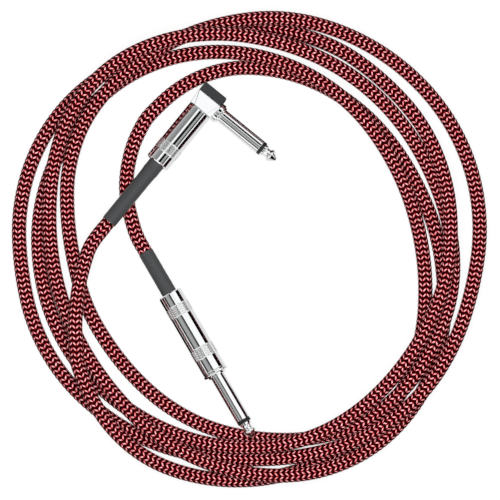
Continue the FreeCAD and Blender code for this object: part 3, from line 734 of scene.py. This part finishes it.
@dataclass(frozen=True)
class BraidedCord:
    """The whole cord: five loose turns and a free stretch to each plug, in a braided sleeve."""

    middle: Corner = (24.05, 4.35)
    diameter: float = 6.3
    base_height: float = 3.42
    proud: float = 0.12
    first_station_deg: float = 215.0
    steps_a_quarter: int = 6
    steps_a_point: int = 12
    rings_a_pair: int = 2
    pair_pitch: float = 2.45
    columns: int = 24
    zigzag_rise: float = 1.45
    relief: float = 0.22
    tuck: float = 4.0
    # Each quarter turn: the coil's radius and its slope, the height and its slope
    stations: tuple[tuple[float, float, float, float], ...] = (
        (90.5, 54, 12, -16), (98.5, -27, 0, 2), (78.5, 4, 6.5, 16), (94.5, 3, 0, 0), (91, -5, 0, 0),
        (88.6, 2, 13, 4), (99, 13, 9, -17), (102, 11, 0.3, 2), (99, -12, 0, 0), (101, 14, 8.5, 14),
        (110, 1, 3.5, 16), (95.5, -20, 8, 3), (74.5, 4, 0, 0), (94, 18, 7, 16), (91.5, 0, 7.5, 16),
        (102, -3, 13, -9), (85, 11, 7.5, 16), (106.5, -5, 4, -15), (82.5, -4, 0, 0), (74, -39, 0.5, 0),
    )
    nudges: tuple[Nudge, ...] = tuple(
        Nudge(*row)
        for row in (
            (242, 24, 1.2), (270, 24, -0.5), (318, 20, 1.2), (318, 24, 1.2), (354, 18, -1.0), (368, 26, -0.9),
            (397, 20, -0.5), (408, 34, 1.0), (462, 16, -0.5), (512, 14, -0.5), (548, 34, -0.75),
            (588, 24, -0.9), (602, 22, -0.9), (652, 26, 1.4), (682, 26, -0.8), (702, 20, -1.1),
            (730, 18, -0.9), (768, 20, -1.0), (768, 26, -0.8), (825, 18, -0.5), (844, 16, -1.1),
            (903, 24, -1.5), (905, 24, -0.6), (938, 14, 0.4), (973, 18, -1.0), (993, 30, -2.6),
            (1003, 16, -0.8), (1068, 26, -1.3), (1070, 30, -1.35), (1140, 30, -0.45), (1157, 24, 1.1),
            (1222, 16, 1.1), (1255, 22, -1.8), (1262, 22, -0.85), (1312, 36, -0.5), (1350, 26, 0.0, -0.85),
            (1358, 34, -1.1), (1380, 24, 1.3), (1433, 22, 1.0), (1465, 20, -0.5), (1510, 32, -1.7),
            (1530, 24, -2.1), (1550, 16, -0.8), (1592, 14, -0.6), (1605, 32, -2.4), (1620, 34, -1.3),
            (1672, 24, -0.9), (1696, 14, -0.9), (1718, 16, -0.5), (1738, 18, 0.6), (1790, 26, -2.2),
            (1815, 20, -0.9), (1897, 22, 0.8),
        )
    )
    angle_exit_run: float = 13.0
    angle_corners: tuple[Point, ...] = (
        (-71.3, -5.2, 13.1), (-73.3, -13.0, 14.6), (-74.5, -20.8, 16.0),
        (-75.3, -28.6, 16.9), (-75.5, -36.6, 17.1), (-74.9, -44.6, 16.6),
    )
    straight_corners: tuple[Point, ...] = (
        (-46.5, 54.8, 3.42), (-49.5, 48.3, 3.42), (-51.4, 41.6, 3.42), (-52.6, 34.8, 3.42),
        (-53.0, 27.8, 3.42), (-52.2, 20.6, 3.5), (-50.4, 13.4, 3.55),
    )
    straight_exit_run: float = 8.2

    def coil_point(self, degrees: float) -> Vector:
        """Control point of the coil at an angle wound.

        Args:
            degrees: Angle wound, counted like the first station's.

        Returns:
            The point in the row frame, set out a little so that the spline passes the coil's radius.
        """
        place = (degrees - self.first_station_deg) / 90
        number = min(int(place), len(self.stations) - 2)
        t = place - number
        start, leave = 2 * t**3 - 3 * t * t + 1, t**3 - 2 * t * t + t
        end, arrive = 3 * t * t - 2 * t**3, t**3 - t * t
        here, there = self.stations[number], self.stations[number + 1]
        radius = here[0] * start + here[1] * leave + there[0] * end + there[1] * arrive
        lift = here[2] * start + here[3] * leave + there[2] * end + there[3] * arrive
        for nudge in self.nudges:
            share = min(abs(degrees - nudge.degrees) / nudge.reach, 1)
            weight = 0.5 + 0.5 * math.cos(math.pi * share)
            radius += nudge.outwards * weight
            lift += nudge.upwards * weight
        radius /= math.cos(math.radians(45 / self.steps_a_quarter))
        turn = math.radians(degrees)
        x = self.middle[0] + radius * math.cos(turn)
        y = self.middle[1] + radius * math.sin(turn)
        return Vector((x, y, self.base_height + max(lift, 0))) * MM

    def corner(self, place: Point) -> Vector:
        """Row-frame place of a listed corner."""
        return Vector((place[0] + self.middle[0], place[1] + self.middle[1], place[2])) * MM

    def middle_line(self, angle: PlugAxis, straight: PlugAxis, exits: Corner) -> Mesh:
        """Points along the cord's one smooth NURBS spline, from the right-angle plug to the straight one.

        Args:
            angle: The right-angle plug's axis.
            straight: The straight plug's axis.
            exits: How far the right-angle and the straight plug's shrunk sleeves reach back.

        Returns:
            The line as a mesh of vertices and edges, in order.
        """
        angle_exit, straight_exit = exits
        step = 90 / self.steps_a_quarter
        count = (len(self.stations) - 1) * self.steps_a_quarter
        angle_runs = (self.tuck - angle_exit, -angle_exit, -angle_exit - self.angle_exit_run)
        straight_runs = (-straight_exit - self.straight_exit_run, -straight_exit, self.tuck - straight_exit)
        points = [
            *map(angle.point, angle_runs),
            *map(self.corner, self.angle_corners),
            *[self.coil_point(self.first_station_deg + step * k) for k in range(count + 1)],
            *map(self.corner, self.straight_corners),
            *map(straight.point, straight_runs),
        ]
        curve = bpy.data.curves.new("cord_route", "CURVE")
        curve.dimensions = "3D"
        spline = curve.splines.new("NURBS")
        spline.points.add(len(points) - 1)
        for target, point in zip(spline.points, points):
            target.co = (*point, 1.0)
        spline.order_u = 3
        spline.use_endpoint_u = True
        spline.resolution_u = self.steps_a_point
        route = placed("cord_route", curve)
        bpy.context.view_layer.update()
        graph = bpy.context.evaluated_depsgraph_get()
        line = bpy.data.meshes.new_from_object(route.evaluated_get(graph), depsgraph=graph)
        bpy.data.objects.remove(route)
        return line

    def build(self, angle: PlugAxis, straight: PlugAxis, exits: Corner) -> Object:
        """Args:
            angle: The right-angle plug's axis.
            straight: The straight plug's axis.
            exits: How far the right-angle and the straight plug's shrunk sleeves reach back.

        Returns:
            The cord.
        """
        line = self.middle_line(angle, straight, exits)
        path = np.empty(3 * len(line.vertices))
        line.vertices.foreach_get("co", path)
        path = path.reshape(-1, 3)
        length = float(np.linalg.norm(np.diff(path, axis=0), axis=1).sum())
        rings = round(length / (self.pair_pitch * MM) * self.rings_a_pair) + 1
        sizes = {
            "Radius": (self.diameter - self.relief) / 2 * MM,
            "Rings": rings,
            "Columns": self.columns,
            "Rise": self.zigzag_rise * MM,
            "Relief": self.relief * MM,
            "Swell": self.proud * MM,
            "Tucked Rings": math.ceil(self.tuck / self.pair_pitch * self.rings_a_pair),
        }
        mesh = braid_tree().run(line, sizes, BRAID)
        # Close both ends
        builder = bmesh.new()
        builder.from_mesh(mesh)
        bmesh.ops.holes_fill(builder, edges=[edge for edge in builder.edges if edge.is_boundary], sides=0)
        bmesh.ops.recalc_face_normals(builder, faces=builder.faces)
        builder.to_mesh(mesh)
        builder.free()
        replaced = ("cable_coil", "cable_lead_angle", "cable_lead_straight")
        cord = piece_from("braided_cord", mesh, BRAID, "braided_cord", "cable", *replaced)
        LOG.info("cord: %.1f mm on %d rings", length / MM, rings)
        return cord


# Plugs


def eased(outline: Outline, cut: float = 0.12, most: float = 0.4) -> Outline:
    """Round the corners of a turned outline, as polishing does.

    Args:
        outline: The outline's corners.
        cut: How much of each side a rounding takes, in millimetres.
        most: The largest share of a side that it takes.

    Returns:
        The outline with each corner off the axis replaced by four points.
    """
    points = [Vector(corner) for corner in outline]
    rounded = []
    for before, corner, after in zip(points[-1:] + points[:-1], points, points[1:] + points[:1]):
        if corner.y < POLE:
            rounded.append(tuple(corner))
            continue
        back, ahead = before - corner, after - corner
        start = corner + back * min(cut / back.length, most)
        end = corner + ahead * min(cut / ahead.length, most)
        for t in (0, 1 / 3, 2 / 3, 1):
            rounded.append(tuple(start * (1 - t) ** 2 + corner * (2 * t * (1 - t)) + end * t * t))
    return rounded


@dataclass(frozen=True)
class Jack:
    """Jack of both plugs along its own axis: where its parts begin, and the tip's outline."""

    rivet_x: float
    ring_x: float
    radius: float = 3.175
    ring_width: float = 1.6
    bore: float = 1.82
    rod_radius: float = 1.1
    rivet_radius: float = 1.5
    rivet_width: float = 0.5
    tip_outline: tuple[Corner, ...] = (
        (0.0, 2.6), (0.9, 2.6), (1.4, 2.1), (1.8, 1.93), (2.4, 1.85), (2.9, 1.9), (3.3, 2.02), (3.45, 2.2),
        (3.85, 2.7), (4.05, 2.82), (4.3, 2.88), (4.55, 2.82), (4.8, 2.65), (6.9, 1.12), (7.15, 0.92),
        (7.4, 0.6), (7.55, 0.28), (7.6, 0.0),
    )

    def tip(self, axis: PlugAxis) -> Mesh:
        """Turn the tip with its rod and rivet.

        Args:
            axis: The jack's own axis.

        Returns:
            The tip in the row frame.
        """
        end = self.ring_x + self.ring_width
        rivet_end = self.rivet_x + self.rivet_width
        rivet = [(self.rivet_x, 0), (self.rivet_x, self.rivet_radius), (rivet_end, self.rivet_radius)]
        rod = [(rivet_end, self.rod_radius), (end, self.rod_radius)]
        return turned(rivet + rod + [(end + x, radius) for x, radius in self.tip_outline], TIP_FACETS, axis)


@dataclass(frozen=True)
class Barrel:
    """Screw-on barrel: a turned tube with raised knurled bands between fine grooves."""

    radius: float
    length: float
    bore: float
    tail_hole: float
    bands: tuple[Corner, ...]
    tail_wall: float = 1.6
    tail_edge: float = 0.5
    front_edge: float = 0.2
    polish: float = 0.1
    groove: float = 0.2
    band_rise: float = 0.15
    diamond: float = 0.45
    diamond_height: float = 0.3
    sink: float = 0.25

    def tube(self, axis: PlugAxis) -> Mesh:
        """Turn the barrel itself.

        Args:
            axis: The plug's axis.

        Returns:
            The barrel's mesh in the row frame.
        """
        low, high = self.radius - self.band_rise, self.radius
        steps = [(0, self.tail_hole), (0, self.radius - self.tail_edge), (self.tail_edge, self.radius)]
        for start, end in self.bands:
            steps += [
                (start - 2 * self.groove, high), (start - self.groove, low), (start, high),
                (end, high), (end + self.groove, low), (end + 2 * self.groove, high),
            ]
        steps += [
            (self.length - self.front_edge, self.radius), (self.length, self.radius - self.front_edge),
            (self.length, self.bore), (self.tail_wall, self.bore), (self.tail_wall, self.tail_hole),
        ]
        return turned(eased(steps, self.polish), BARREL_FACETS, axis)

    def knurls(self, axis: PlugAxis) -> Mesh:
        """Cut the diamonds of every band.

        Args:
            axis: The plug's axis.

        Returns:
            All diamonds in one mesh in the row frame.
        """
        tree = knurl_tree()
        meshes = []
        for start, end in self.bands:
            sizes = {
                "Start": start * MM,
                "Width": (end - start) * MM,
                "Radius": (self.radius + self.band_rise - self.sink) * MM,
                "Depth": self.diamond_height * MM,
                "Rows": round((end - start) / self.diamond) - 1,
                "Round": round(math.pi * self.radius / self.diamond),
            }
            mesh = tree.run(bpy.data.meshes.new("seed"), sizes, KNURLED_CHROME)
            mesh.transform(axis.matrix)
            meshes.append(mesh)
        return joined(meshes)

    def build(self, name: str, axis: PlugAxis) -> None:
        """Make the barrel and its knurls, which ride on the barrel's own body.

        Args:
            name: The barrel's CAD node and body.
            axis: The plug's axis.
        """
        piece_from(f"{name}_shell", self.tube(axis), CHROME, "chromed_brass", name, name)
        piece_from(f"{name}_knurling", self.knurls(axis), KNURLED_CHROME, "chromed_brass", name)


@dataclass(frozen=True)
class Thread:
    """Thread on which a barrel screws: where it starts and ends, and its ridge."""

    start: float
    end: float
    radius: float
    pitch: float = 1.0
    ridge: float = 0.32

    def core_radius(self) -> float:
        """Radius at the root of the thread."""
        return self.radius - self.ridge

    def mesh(self, axis: PlugAxis) -> Mesh:
        """Wind the ridge.

        Args:
            axis: The plug's axis.

        Returns:
            The ridge in the row frame.
        """
        sizes = {
            "Start": self.start * MM,
            "Radius": self.core_radius() * MM,
            "Turns": (self.end - self.start) / self.pitch,
            "Pitch": self.pitch * MM,
            "Depth": self.ridge * MM,
        }
        ridge = thread_tree().run(bpy.data.meshes.new("seed"), sizes, CHROME)
        ridge.transform(axis.matrix)
        return ridge


@dataclass(frozen=True)
class ShrunkSleeve:
    """Heat-shrunk sleeve over the cord: its front end is inside the barrel, where it is widest."""

    length: float
    cord_radius: float
    barrel_radius: float
    inside: float = 3.5
    bore: float = 3.2
    tail_hug: float = 0.1
    swell: Corner = (8.0, 5.0)
    ripple: float = 0.035
    ripple_turn: float = 2.4
    steps: int = 24

    def mesh(self, axis: PlugAxis) -> Mesh:
        """Turn the sleeve with the faint ripples of the braid under it.

        Args:
            axis: The plug's axis.

        Returns:
            The sleeve in the row frame.
        """
        outline = [(-self.length, self.bore), (-self.length, self.cord_radius - self.tail_hug)]
        whole = self.length + self.inside
        swell_start, swell_end = self.swell
        for k in range(1, self.steps + 1):
            x = -self.length + whole * k / self.steps
            share = min(max((x + swell_start) / (swell_start - swell_end), 0), 1)
            swollen = self.cord_radius + (self.barrel_radius - self.cord_radius) * share
            outline.append((x, swollen + self.ripple * math.sin(self.ripple_turn * k)))
        return turned(outline + [(self.inside, self.bore)], BODY_FACETS, axis)


def lofted(rings: list[list[Point]], edge: float, axis: PlugAxis, segments: int = 3) -> Mesh:
    """Join rings of corners to a closed block with rounded edges.

    Args:
        rings: Rings of as many corners each, in millimetres along the plug.
        edge: Width of the rounding.
        axis: The plug's axis.
        segments: Facets across the rounding.

    Returns:
        The block in the row frame.
    """
    builder = bmesh.new()
    made = [[builder.verts.new(corner) for corner in ring] for ring in rings]
    for ring, following in zip(made, made[1:]):
        for k in range(len(ring)):
            builder.faces.new((ring[k], ring[k - 1], following[k - 1], following[k]))
    builder.faces.new(made[0])
    builder.faces.new(made[-1])
    bmesh.ops.recalc_face_normals(builder, faces=builder.faces)
    rounding = {"offset": edge, "segments": segments, "affect": "EDGES", "clamp_overlap": True}
    bmesh.ops.bevel(builder, geom=builder.edges[:], **rounding)
    return mesh_from(builder, axis, LOFTED_SHARP)


def cut_rectangle(x: float, half: Corner, cut: Corner) -> list[Point]:
    """Corners of a rectangle with cut corners, square to the plug's axis.

    Args:
        x: Place along the axis.
        half: Half of its width and of its height.
        cut: How much each corner takes off the width and off the height.

    Returns:
        Eight corners in order.
    """
    (half_y, half_z), (cut_y, cut_z) = half, cut
    quarter = [(half_y, half_z - cut_z), (half_y - cut_y, half_z)]
    upper = quarter + [(-y, z) for y, z in reversed(quarter)]
    return [(x, y, z) for y, z in upper] + [(x, y, -z) for y, z in reversed(upper)]


@dataclass(frozen=True)
class StraightPlug:
    """Straight plug: barrel, threaded body with its lip and sleeve, tip and shrunk sleeve."""

    barrel: Barrel = Barrel(5.5, 40.3, 4.7, 3.8, ((6.6, 11.1), (28.4, 33.1)))
    jack: Jack = Jack(30.1, 66.0)
    thread: Thread = Thread(33.6, 39.6, 4.65)
    shrink: ShrunkSleeve = ShrunkSleeve(21.8, 3.42, 3.45)
    spigot_radius: float = 3.0
    spigot_x: float = 32.4
    body_x: float = 33.4
    flange: Corner = (40.4, 40.7)
    flange_radius: float = 5.5
    bead: Corner = (40.85, 42.0)
    bead_radius: float = 5.88
    bead_rounding: tuple[Corner, ...] = ((0.0, 0.55), (0.05, 0.33), (0.17, 0.15), (0.35, 0.04), (0.6, 0.0))
    groove: float = 0.3
    root_radius: float = 4.1
    root_length: float = 1.0
    edge: float = 0.1

    def body(self, axis: PlugAxis) -> Mesh:
        """Turn the body: spigot, thread, rounded lip, root and sleeve.

        Args:
            axis: The plug's axis.

        Returns:
            The body in the row frame.
        """
        core, jack, edge = self.thread.core_radius(), self.jack, self.edge
        start, end = self.flange
        bead, face = self.bead
        root = face + self.root_length
        shell = turned(
            [
                (self.spigot_x, jack.bore), (self.spigot_x, self.spigot_radius),
                (self.body_x, self.spigot_radius), (self.body_x, core), (start, core),
                (start, self.flange_radius), (end, self.flange_radius),
                (end, self.flange_radius - self.groove), (bead, self.flange_radius - self.groove),
                *[(bead + x, self.bead_radius - down) for x, down in self.bead_rounding],
                *[(face - x, self.bead_radius - down) for x, down in reversed(self.bead_rounding[:-1])],
                (face, self.root_radius), (root - edge, self.root_radius), (root, self.root_radius - edge),
                (root, jack.radius), (jack.ring_x - edge, jack.radius),
                (jack.ring_x, jack.radius - edge), (jack.ring_x, jack.bore),
            ],
            BODY_FACETS,
            axis,
        )
        shell.materials.append(CHROME.material())
        return joined([shell, self.thread.mesh(axis)])

    def build(self, axis: PlugAxis) -> None:
        """Make the plug's pieces.

        Args:
            axis: The plug's axis.
        """
        self.barrel.build("straight_barrel", axis)
        for name, mesh, finish, slot, node in (
            ("straight_body", self.body(axis), CHROME, "chromed_brass", "straight_sleeve"),
            ("straight_jack_tip", self.jack.tip(axis), CHROME, "chromed_brass", "straight_tip"),
            ("straight_shrink", self.shrink.mesh(axis), SHRINK, "heat_shrink", "straight_heat_shrink"),
        ):
            piece_from(name, mesh, finish, slot, "cable", node)


@dataclass(frozen=True)
class AnglePlug:
    """Right-angle plug: barrel, faceted head with its cap, jack with its shoulder, shrunk sleeve."""

    barrel: Barrel = Barrel(5.7, 30.7, 4.85, 4.15, ((6.0, 10.3),))
    jack: Jack = Jack(1.45, 31.6)
    thread: Thread = Thread(25.0, 30.0, 4.8)
    shrink: ShrunkSleeve = ShrunkSleeve(34.4, 3.5, 3.75)
    shaft_x: float = 35.2
    head_x: float = 30.8
    head_length: float = 6.8
    head_edge: float = 0.2
    base_half: Corner = (5.7, 5.7)
    base_cut: Corner = (2.3, 1.2)
    top_half: Corner = (6.15, 6.0)
    top_cut: Corner = (0.3, 0.3)
    cap_gap: float = 0.03
    cap_height: float = 4.6
    cap_taper: float = 0.25
    cap_edge: float = 0.1
    boss_radius: float = 4.2
    boss_face: float = 6.3
    thread_tail: float = 24.2
    thread_inside: float = 1.0
    wire_bore: float = 2.6
    spigot: Corner = (3.75, 2.6)
    shoulder: Corner = (8.2, 4.6)
    step: Corner = (9.1, 3.9)
    polish: float = 0.2

    def head(self, axis: PlugAxis) -> Mesh:
        """Make the head: faceted block, boss of the jack and threaded tail.

        Args:
            axis: The plug's axis.

        Returns:
            The head in the row frame.
        """
        base = cut_rectangle(self.head_x, self.base_half, self.base_cut)
        top = cut_rectangle(self.head_x + self.head_length, self.top_half, self.top_cut)
        boss = [(0, 0), (0, self.boss_radius), (self.boss_face, self.boss_radius), (self.boss_face, 0)]
        core, front = self.thread.core_radius(), self.head_x + self.thread_inside
        start, bore = self.thread_tail, self.wire_bore
        tail = [(start, bore), (start, core), (front, core), (front, bore)]
        meshes = [
            lofted([base, top], self.head_edge, axis),
            turned(eased(boss), BODY_FACETS, axis.jack(self.shaft_x)),
            turned(eased(tail), BODY_FACETS, axis),
        ]
        for mesh in meshes:
            mesh.materials.append(CHROME.material())
        return joined([*meshes, self.thread.mesh(axis)])

    def cap(self, axis: PlugAxis) -> Mesh:
        """Mould the cap over the head's end.

        Args:
            axis: The plug's axis.

        Returns:
            The cap in the row frame.
        """
        start = self.head_x + self.head_length
        end = start + self.cap_height
        width, height = self.top_half
        narrowed = (width - self.cap_taper, height - self.cap_taper)
        rings = [
            cut_rectangle(start + self.cap_gap, self.top_half, self.top_cut),
            cut_rectangle(end - self.cap_taper, self.top_half, self.top_cut),
            cut_rectangle(end, narrowed, self.top_cut),
        ]
        return lofted(rings, self.cap_edge, axis)

    def sleeve(self, jack_axis: PlugAxis) -> Mesh:
        """Turn the jack's sleeve with its shoulder and step.

        Args:
            jack_axis: The jack's own axis.

        Returns:
            The sleeve in the row frame.
        """
        spigot_x, spigot_radius = self.spigot
        shoulder_end, shoulder_radius = self.shoulder
        step_end, step_radius = self.step
        outline = [
            (spigot_x, self.jack.bore), (spigot_x, spigot_radius), (self.boss_face, spigot_radius),
            (self.boss_face, shoulder_radius), (shoulder_end, shoulder_radius),
            (shoulder_end, step_radius), (step_end, step_radius), (step_end, self.jack.radius),
            (self.jack.ring_x, self.jack.radius), (self.jack.ring_x, self.jack.bore),
        ]
        return turned(eased(outline, self.polish), BODY_FACETS, jack_axis)

    def build(self, axis: PlugAxis) -> None:
        """Make the plug's pieces.

        Args:
            axis: The plug's axis.
        """
        jack_axis = axis.jack(self.shaft_x)
        self.barrel.build("angle_barrel", axis)
        for name, mesh, finish, slot, node in (
            ("angle_head_shell", self.head(axis), CHROME, "chromed_brass", "angle_head"),
            ("angle_end_cap", self.cap(axis), CAP_PLASTIC, "black_plastic", "angle_cap"),
            ("angle_jack_sleeve", self.sleeve(jack_axis), CHROME, "chromed_brass", "angle_sleeve"),
            ("angle_jack_tip", self.jack.tip(jack_axis), CHROME, "chromed_brass", "angle_tip"),
            ("angle_shrink", self.shrink.mesh(axis), SHRINK, "heat_shrink", "angle_heat_shrink"),
        ):
            piece_from(name, mesh, finish, slot, "cable", node)


# Studio


@dataclass(frozen=True)
class CardOrPaintedShade:
    """A card in the sky, or a patch of painted shade on the table, that only mirrors see: its bearing
    and its reach in two directions.

    The reaches are outwards on the bearing and to its left: for a card in the sky in shares of the
    sky's radius seen from above, for painted shade on the table in millimetres from the row frame's
    origin.
    """

    bearing: float
    outwards: Corner
    leftwards: Corner
    colour: str


@dataclass(frozen=True)
class Studio:
    """Pale floor with painted shade for mirrors, soft overhead light, mirrored cards, and the camera."""

    millimetres_a_pixel: float = 0.4536
    frame_pixels: int = 500
    view_middle: Corner = (27.225, 4.35)
    camera_height: float = 2.0
    sensor_mm: float = 36.0
    sight: float = 20.0
    floor_size: float = 4.0
    floor_colour: str = "#f6f6f6"
    floor_matte: float = 0.12
    floor_mirrored: float = 0.74
    lamp_size: float = 0.7
    lamp_height: float = 1.2
    lamp_power: float = 19.5
    surround: float = 0.12
    mirrored_white: float = 1.06
    cards: tuple[CardOrPaintedShade, ...] = (
        CardOrPaintedShade(50.8, (-0.4, 0.175), (-0.08, 0.04), "#8f908f"),
        CardOrPaintedShade(50.8, (-0.62, -0.35), (-0.08, 0.04), "#b4b5b4"),
        CardOrPaintedShade(50.8, (-0.84, -0.61), (-0.08, 0.04), "#2c2d2c"),
        CardOrPaintedShade(50.8, (0.04, 0.09), (0.0228, 0.06), WHITE),
        CardOrPaintedShade(50.8, (0.325, 0.74), (0.007, 0.032), "#050505"),
        CardOrPaintedShade(30.3, (0.855, 1.0), (-0.05, 0.25), "#050505"),
        CardOrPaintedShade(210.3, (0.01, 0.96), (-0.45, -0.05), "#3c3d3c"),
        CardOrPaintedShade(210.3, (0.27, 0.82), (-0.45, -0.05), "#909190"),
        CardOrPaintedShade(210.3, (0.42, 0.82), (-0.45, -0.05), "#a4a5a4"),
        CardOrPaintedShade(320.8, (0.05, 0.35), (0.1, 0.2), "#050505"),
        CardOrPaintedShade(320.8, (0.35, 0.645), (0.08, 0.3), "#a2a3a2"),
        CardOrPaintedShade(320.8, (0.645, 0.79), (0.08, 0.3), "#2a2a2a"),
        CardOrPaintedShade(320.8, (0.885, 1.0), (-0.45, 0.3), "#050505"),
        CardOrPaintedShade(140.8, (0.315, 0.68), (-0.3, 0.2), "#858787"),
        CardOrPaintedShade(140.8, (0.68, 0.9), (-0.3, 0.2), "#999b9a"),
        CardOrPaintedShade(140.8, (0.9, 1.0), (-0.3, 0.2), "#b8b8b6"),
    )
    # Painted shade: dark patches on the table that only mirrors see, which darken the chrome's edges
    painted_floor_shade: tuple[CardOrPaintedShade, ...] = (
        CardOrPaintedShade(210.3, (17.6, 42.0), (5.0, 85.0), "#1c0305"),
        CardOrPaintedShade(30.3, (60.0, 600.0), (-85.0, 0.0), "#050505"),
        CardOrPaintedShade(320.8, (60.0, 600.0), (-12.0, 34.0), "#050505"),
        CardOrPaintedShade(140.8, (41.0, 60.0), (-66.0, -22.0), "#1c0305"),
        CardOrPaintedShade(50.8, (60.5, 86.0), (0.0, 33.0), "#1c0305"),
    )

    def above(self, height: float) -> Vector:
        """Place above the middle of the view, at a height in metres."""
        return Vector((self.view_middle[0] * MM, self.view_middle[1] * MM, height))

    def camera(self) -> None:
        """Look straight down, with the photograph's scale at the table."""
        width = self.millimetres_a_pixel * self.frame_pixels * MM
        data = bpy.data.cameras.new("camera")
        data.sensor_width = self.sensor_mm
        data.lens = self.sensor_mm * self.camera_height / width
        data.clip_end = self.sight
        camera = placed("camera", data)
        camera.location = self.above(self.camera_height)
        bpy.context.scene.camera = camera

    def floor(self) -> None:
        """Lay the pale floor: white to the camera, pale with painted shade to mirrors, with a soft shadow."""
        half = self.floor_size / 2
        mesh = bpy.data.meshes.new("floor")
        corners = [(-half, -half, 0), (half, -half, 0), (half, half, 0), (-half, half, 0)]
        mesh.from_pydata(corners, [], [(0, 1, 2, 3)])
        paper = bpy.data.materials.new("white_paper")
        paper.use_nodes = True
        tree = paper.node_tree
        tree.nodes.clear()
        add = partial(add_node, tree)
        rays = add("ShaderNodeLightPath").outputs
        mirrored = add(MATH + "MULTIPLY", rays["Is Glossy Ray"], self.floor_mirrored)
        straight = add(MATH + "MAXIMUM", rays["Is Camera Ray"], rays["Is Transmission Ray"])
        seen = add(MATH + "MAXIMUM", straight, mirrored)
        matte = add("ShaderNodeBsdfDiffuse", linear(self.floor_colour))
        glow = add("ShaderNodeEmission", linear(WHITE), seen)
        lit = add(MIX_SHADER, 1 - self.floor_matte, matte, glow)
        place = add(PLACE).outputs["Object"]
        in_millimetres = add(VECTOR + "SCALE", place, {"Scale": 1 / MM}).outputs[0]
        # Painted shade: dark patches on the floor that only mirrors see
        for shade_patch in self.painted_floor_shade:
            mask = self.card_or_shade_mask(tree, in_millimetres, shade_patch)
            shade_for_mirrors = add(MATH + "MULTIPLY", mask, rays["Is Glossy Ray"])
            lit = add(MIX_SHADER, shade_for_mirrors, lit, add("ShaderNodeEmission", linear(shade_patch.colour)))
        add("ShaderNodeOutputMaterial", lit)
        mesh.materials.append(paper)
        floor = placed("floor", mesh)

    def lamp(self) -> None:
        """Hang one soft lamp above the table; mirrors see the cards in its place."""
        data = bpy.data.lights.new("overhead", "AREA")
        data.size = self.lamp_size
        data.energy = self.lamp_power
        lamp = placed("overhead", data)
        lamp.location = self.above(self.lamp_height)
        lamp.visible_glossy = False

    def card_or_shade_mask(self, tree: NodeTree, way: NodeSocket, card: CardOrPaintedShade) -> Node:
        """One where a card or a patch of painted shade stands, zero elsewhere.

        Args:
            tree: The surround's or the floor's tree.
            way: Direction looked in, or place on the floor in millimetres.
            card: The card, or the patch of painted shade on the floor.

        Returns:
            The node whose first output is the mask.
        """
        bearing = math.radians(card.bearing)
        out = (math.cos(bearing), math.sin(bearing), 0.0)
        left = (-math.sin(bearing), math.cos(bearing), 0.0)
        inside = []
        for axis, (low, high) in ((out, card.outwards), (left, card.leftwards)):
            reach = add_node(tree, VECTOR + "DOT_PRODUCT", way, axis).outputs["Value"]
            inside.append(add_node(tree, MATH + "COMPARE", reach, (low + high) / 2, (high - low) / 2))
        return add_node(tree, MATH + "MULTIPLY", inside[0], inside[1])

    def surroundings(self) -> None:
        """Make the even white surround, with the cards in it for what is seen and mirrored alone."""
        world = bpy.data.worlds.new("surround")
        bpy.context.scene.world = world
        world.use_nodes = True
        tree = world.node_tree
        tree.nodes.clear()
        add = partial(add_node, tree)
        way = add(PLACE).outputs["Object"]
        sky = linear(WHITE)
        for card in self.cards:
            mask = self.card_or_shade_mask(tree, way, card)
            colours = {FIRST: sky, SECOND: linear(card.colour)}
            sky = add(MIX, mask, colours, data_type="RGBA").outputs[RESULT]
        mirrored = add("ShaderNodeBackground", sky, self.mirrored_white)
        plain = add("ShaderNodeBackground", linear(WHITE), self.surround)
        rays = add("ShaderNodeLightPath").outputs
        seen = rays["Is Camera Ray"]
        for ray in ("Is Glossy Ray", "Is Transmission Ray"):
            seen = add(MATH + "MAXIMUM", seen, rays[ray]).outputs[0]
        add("ShaderNodeOutputWorld", add(MIX_SHADER, seen, plain, mirrored))

    def build(self) -> None:
        """Set up camera, floor, lamp and surround."""
        self.camera()
        self.floor()
        self.lamp()
        self.surroundings()
        bpy.context.scene.view_settings.view_transform = "Standard"


def dress_nodes(frame: dict) -> None:
    """Give every CAD node that stays its finish.
    """
    by_slot = {
        "braided_cord": BRAID,
        "chromed_brass": CHROME,
        "black_plastic": RING_PLASTIC,
        "heat_shrink": SHRINK,
        "liner_plastic": LINER_PLASTIC,
        "tinned_brass": TINNED_BRASS,
        "core_insulation": CORE_PLASTIC,
        "bare_copper": BARE_COPPER,
        "solder": SOLDER,
    }
    slots = {part["node"]: part["material_slot"] for part in frame["record"]["subparts"]}
    for node, item in frame["nodes"].items():
        finish = JACKET if node.endswith("cable_end") else by_slot[slots[node]]
        item.data.materials.clear()
        item.data.materials.append(finish.material())


def main() -> None:
    """Build the cable's pieces in order and set up the studio."""
    logging.basicConfig(level=logging.INFO, format="%(message)s")
    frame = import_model()
    angle = PlugAxis.of_joint(frame, "angle_barrel_turn")
    straight = PlugAxis.of_joint(frame, "straight_barrel_turn")
    dress_nodes(frame)
    straight_plug, angle_plug = StraightPlug(), AnglePlug()
    straight_plug.build(straight)
    angle_plug.build(angle)
    BraidedCord().build(angle, straight, (angle_plug.shrink.length, straight_plug.shrink.length))
    Studio().build()


if __name__ == "__main__":
    main()
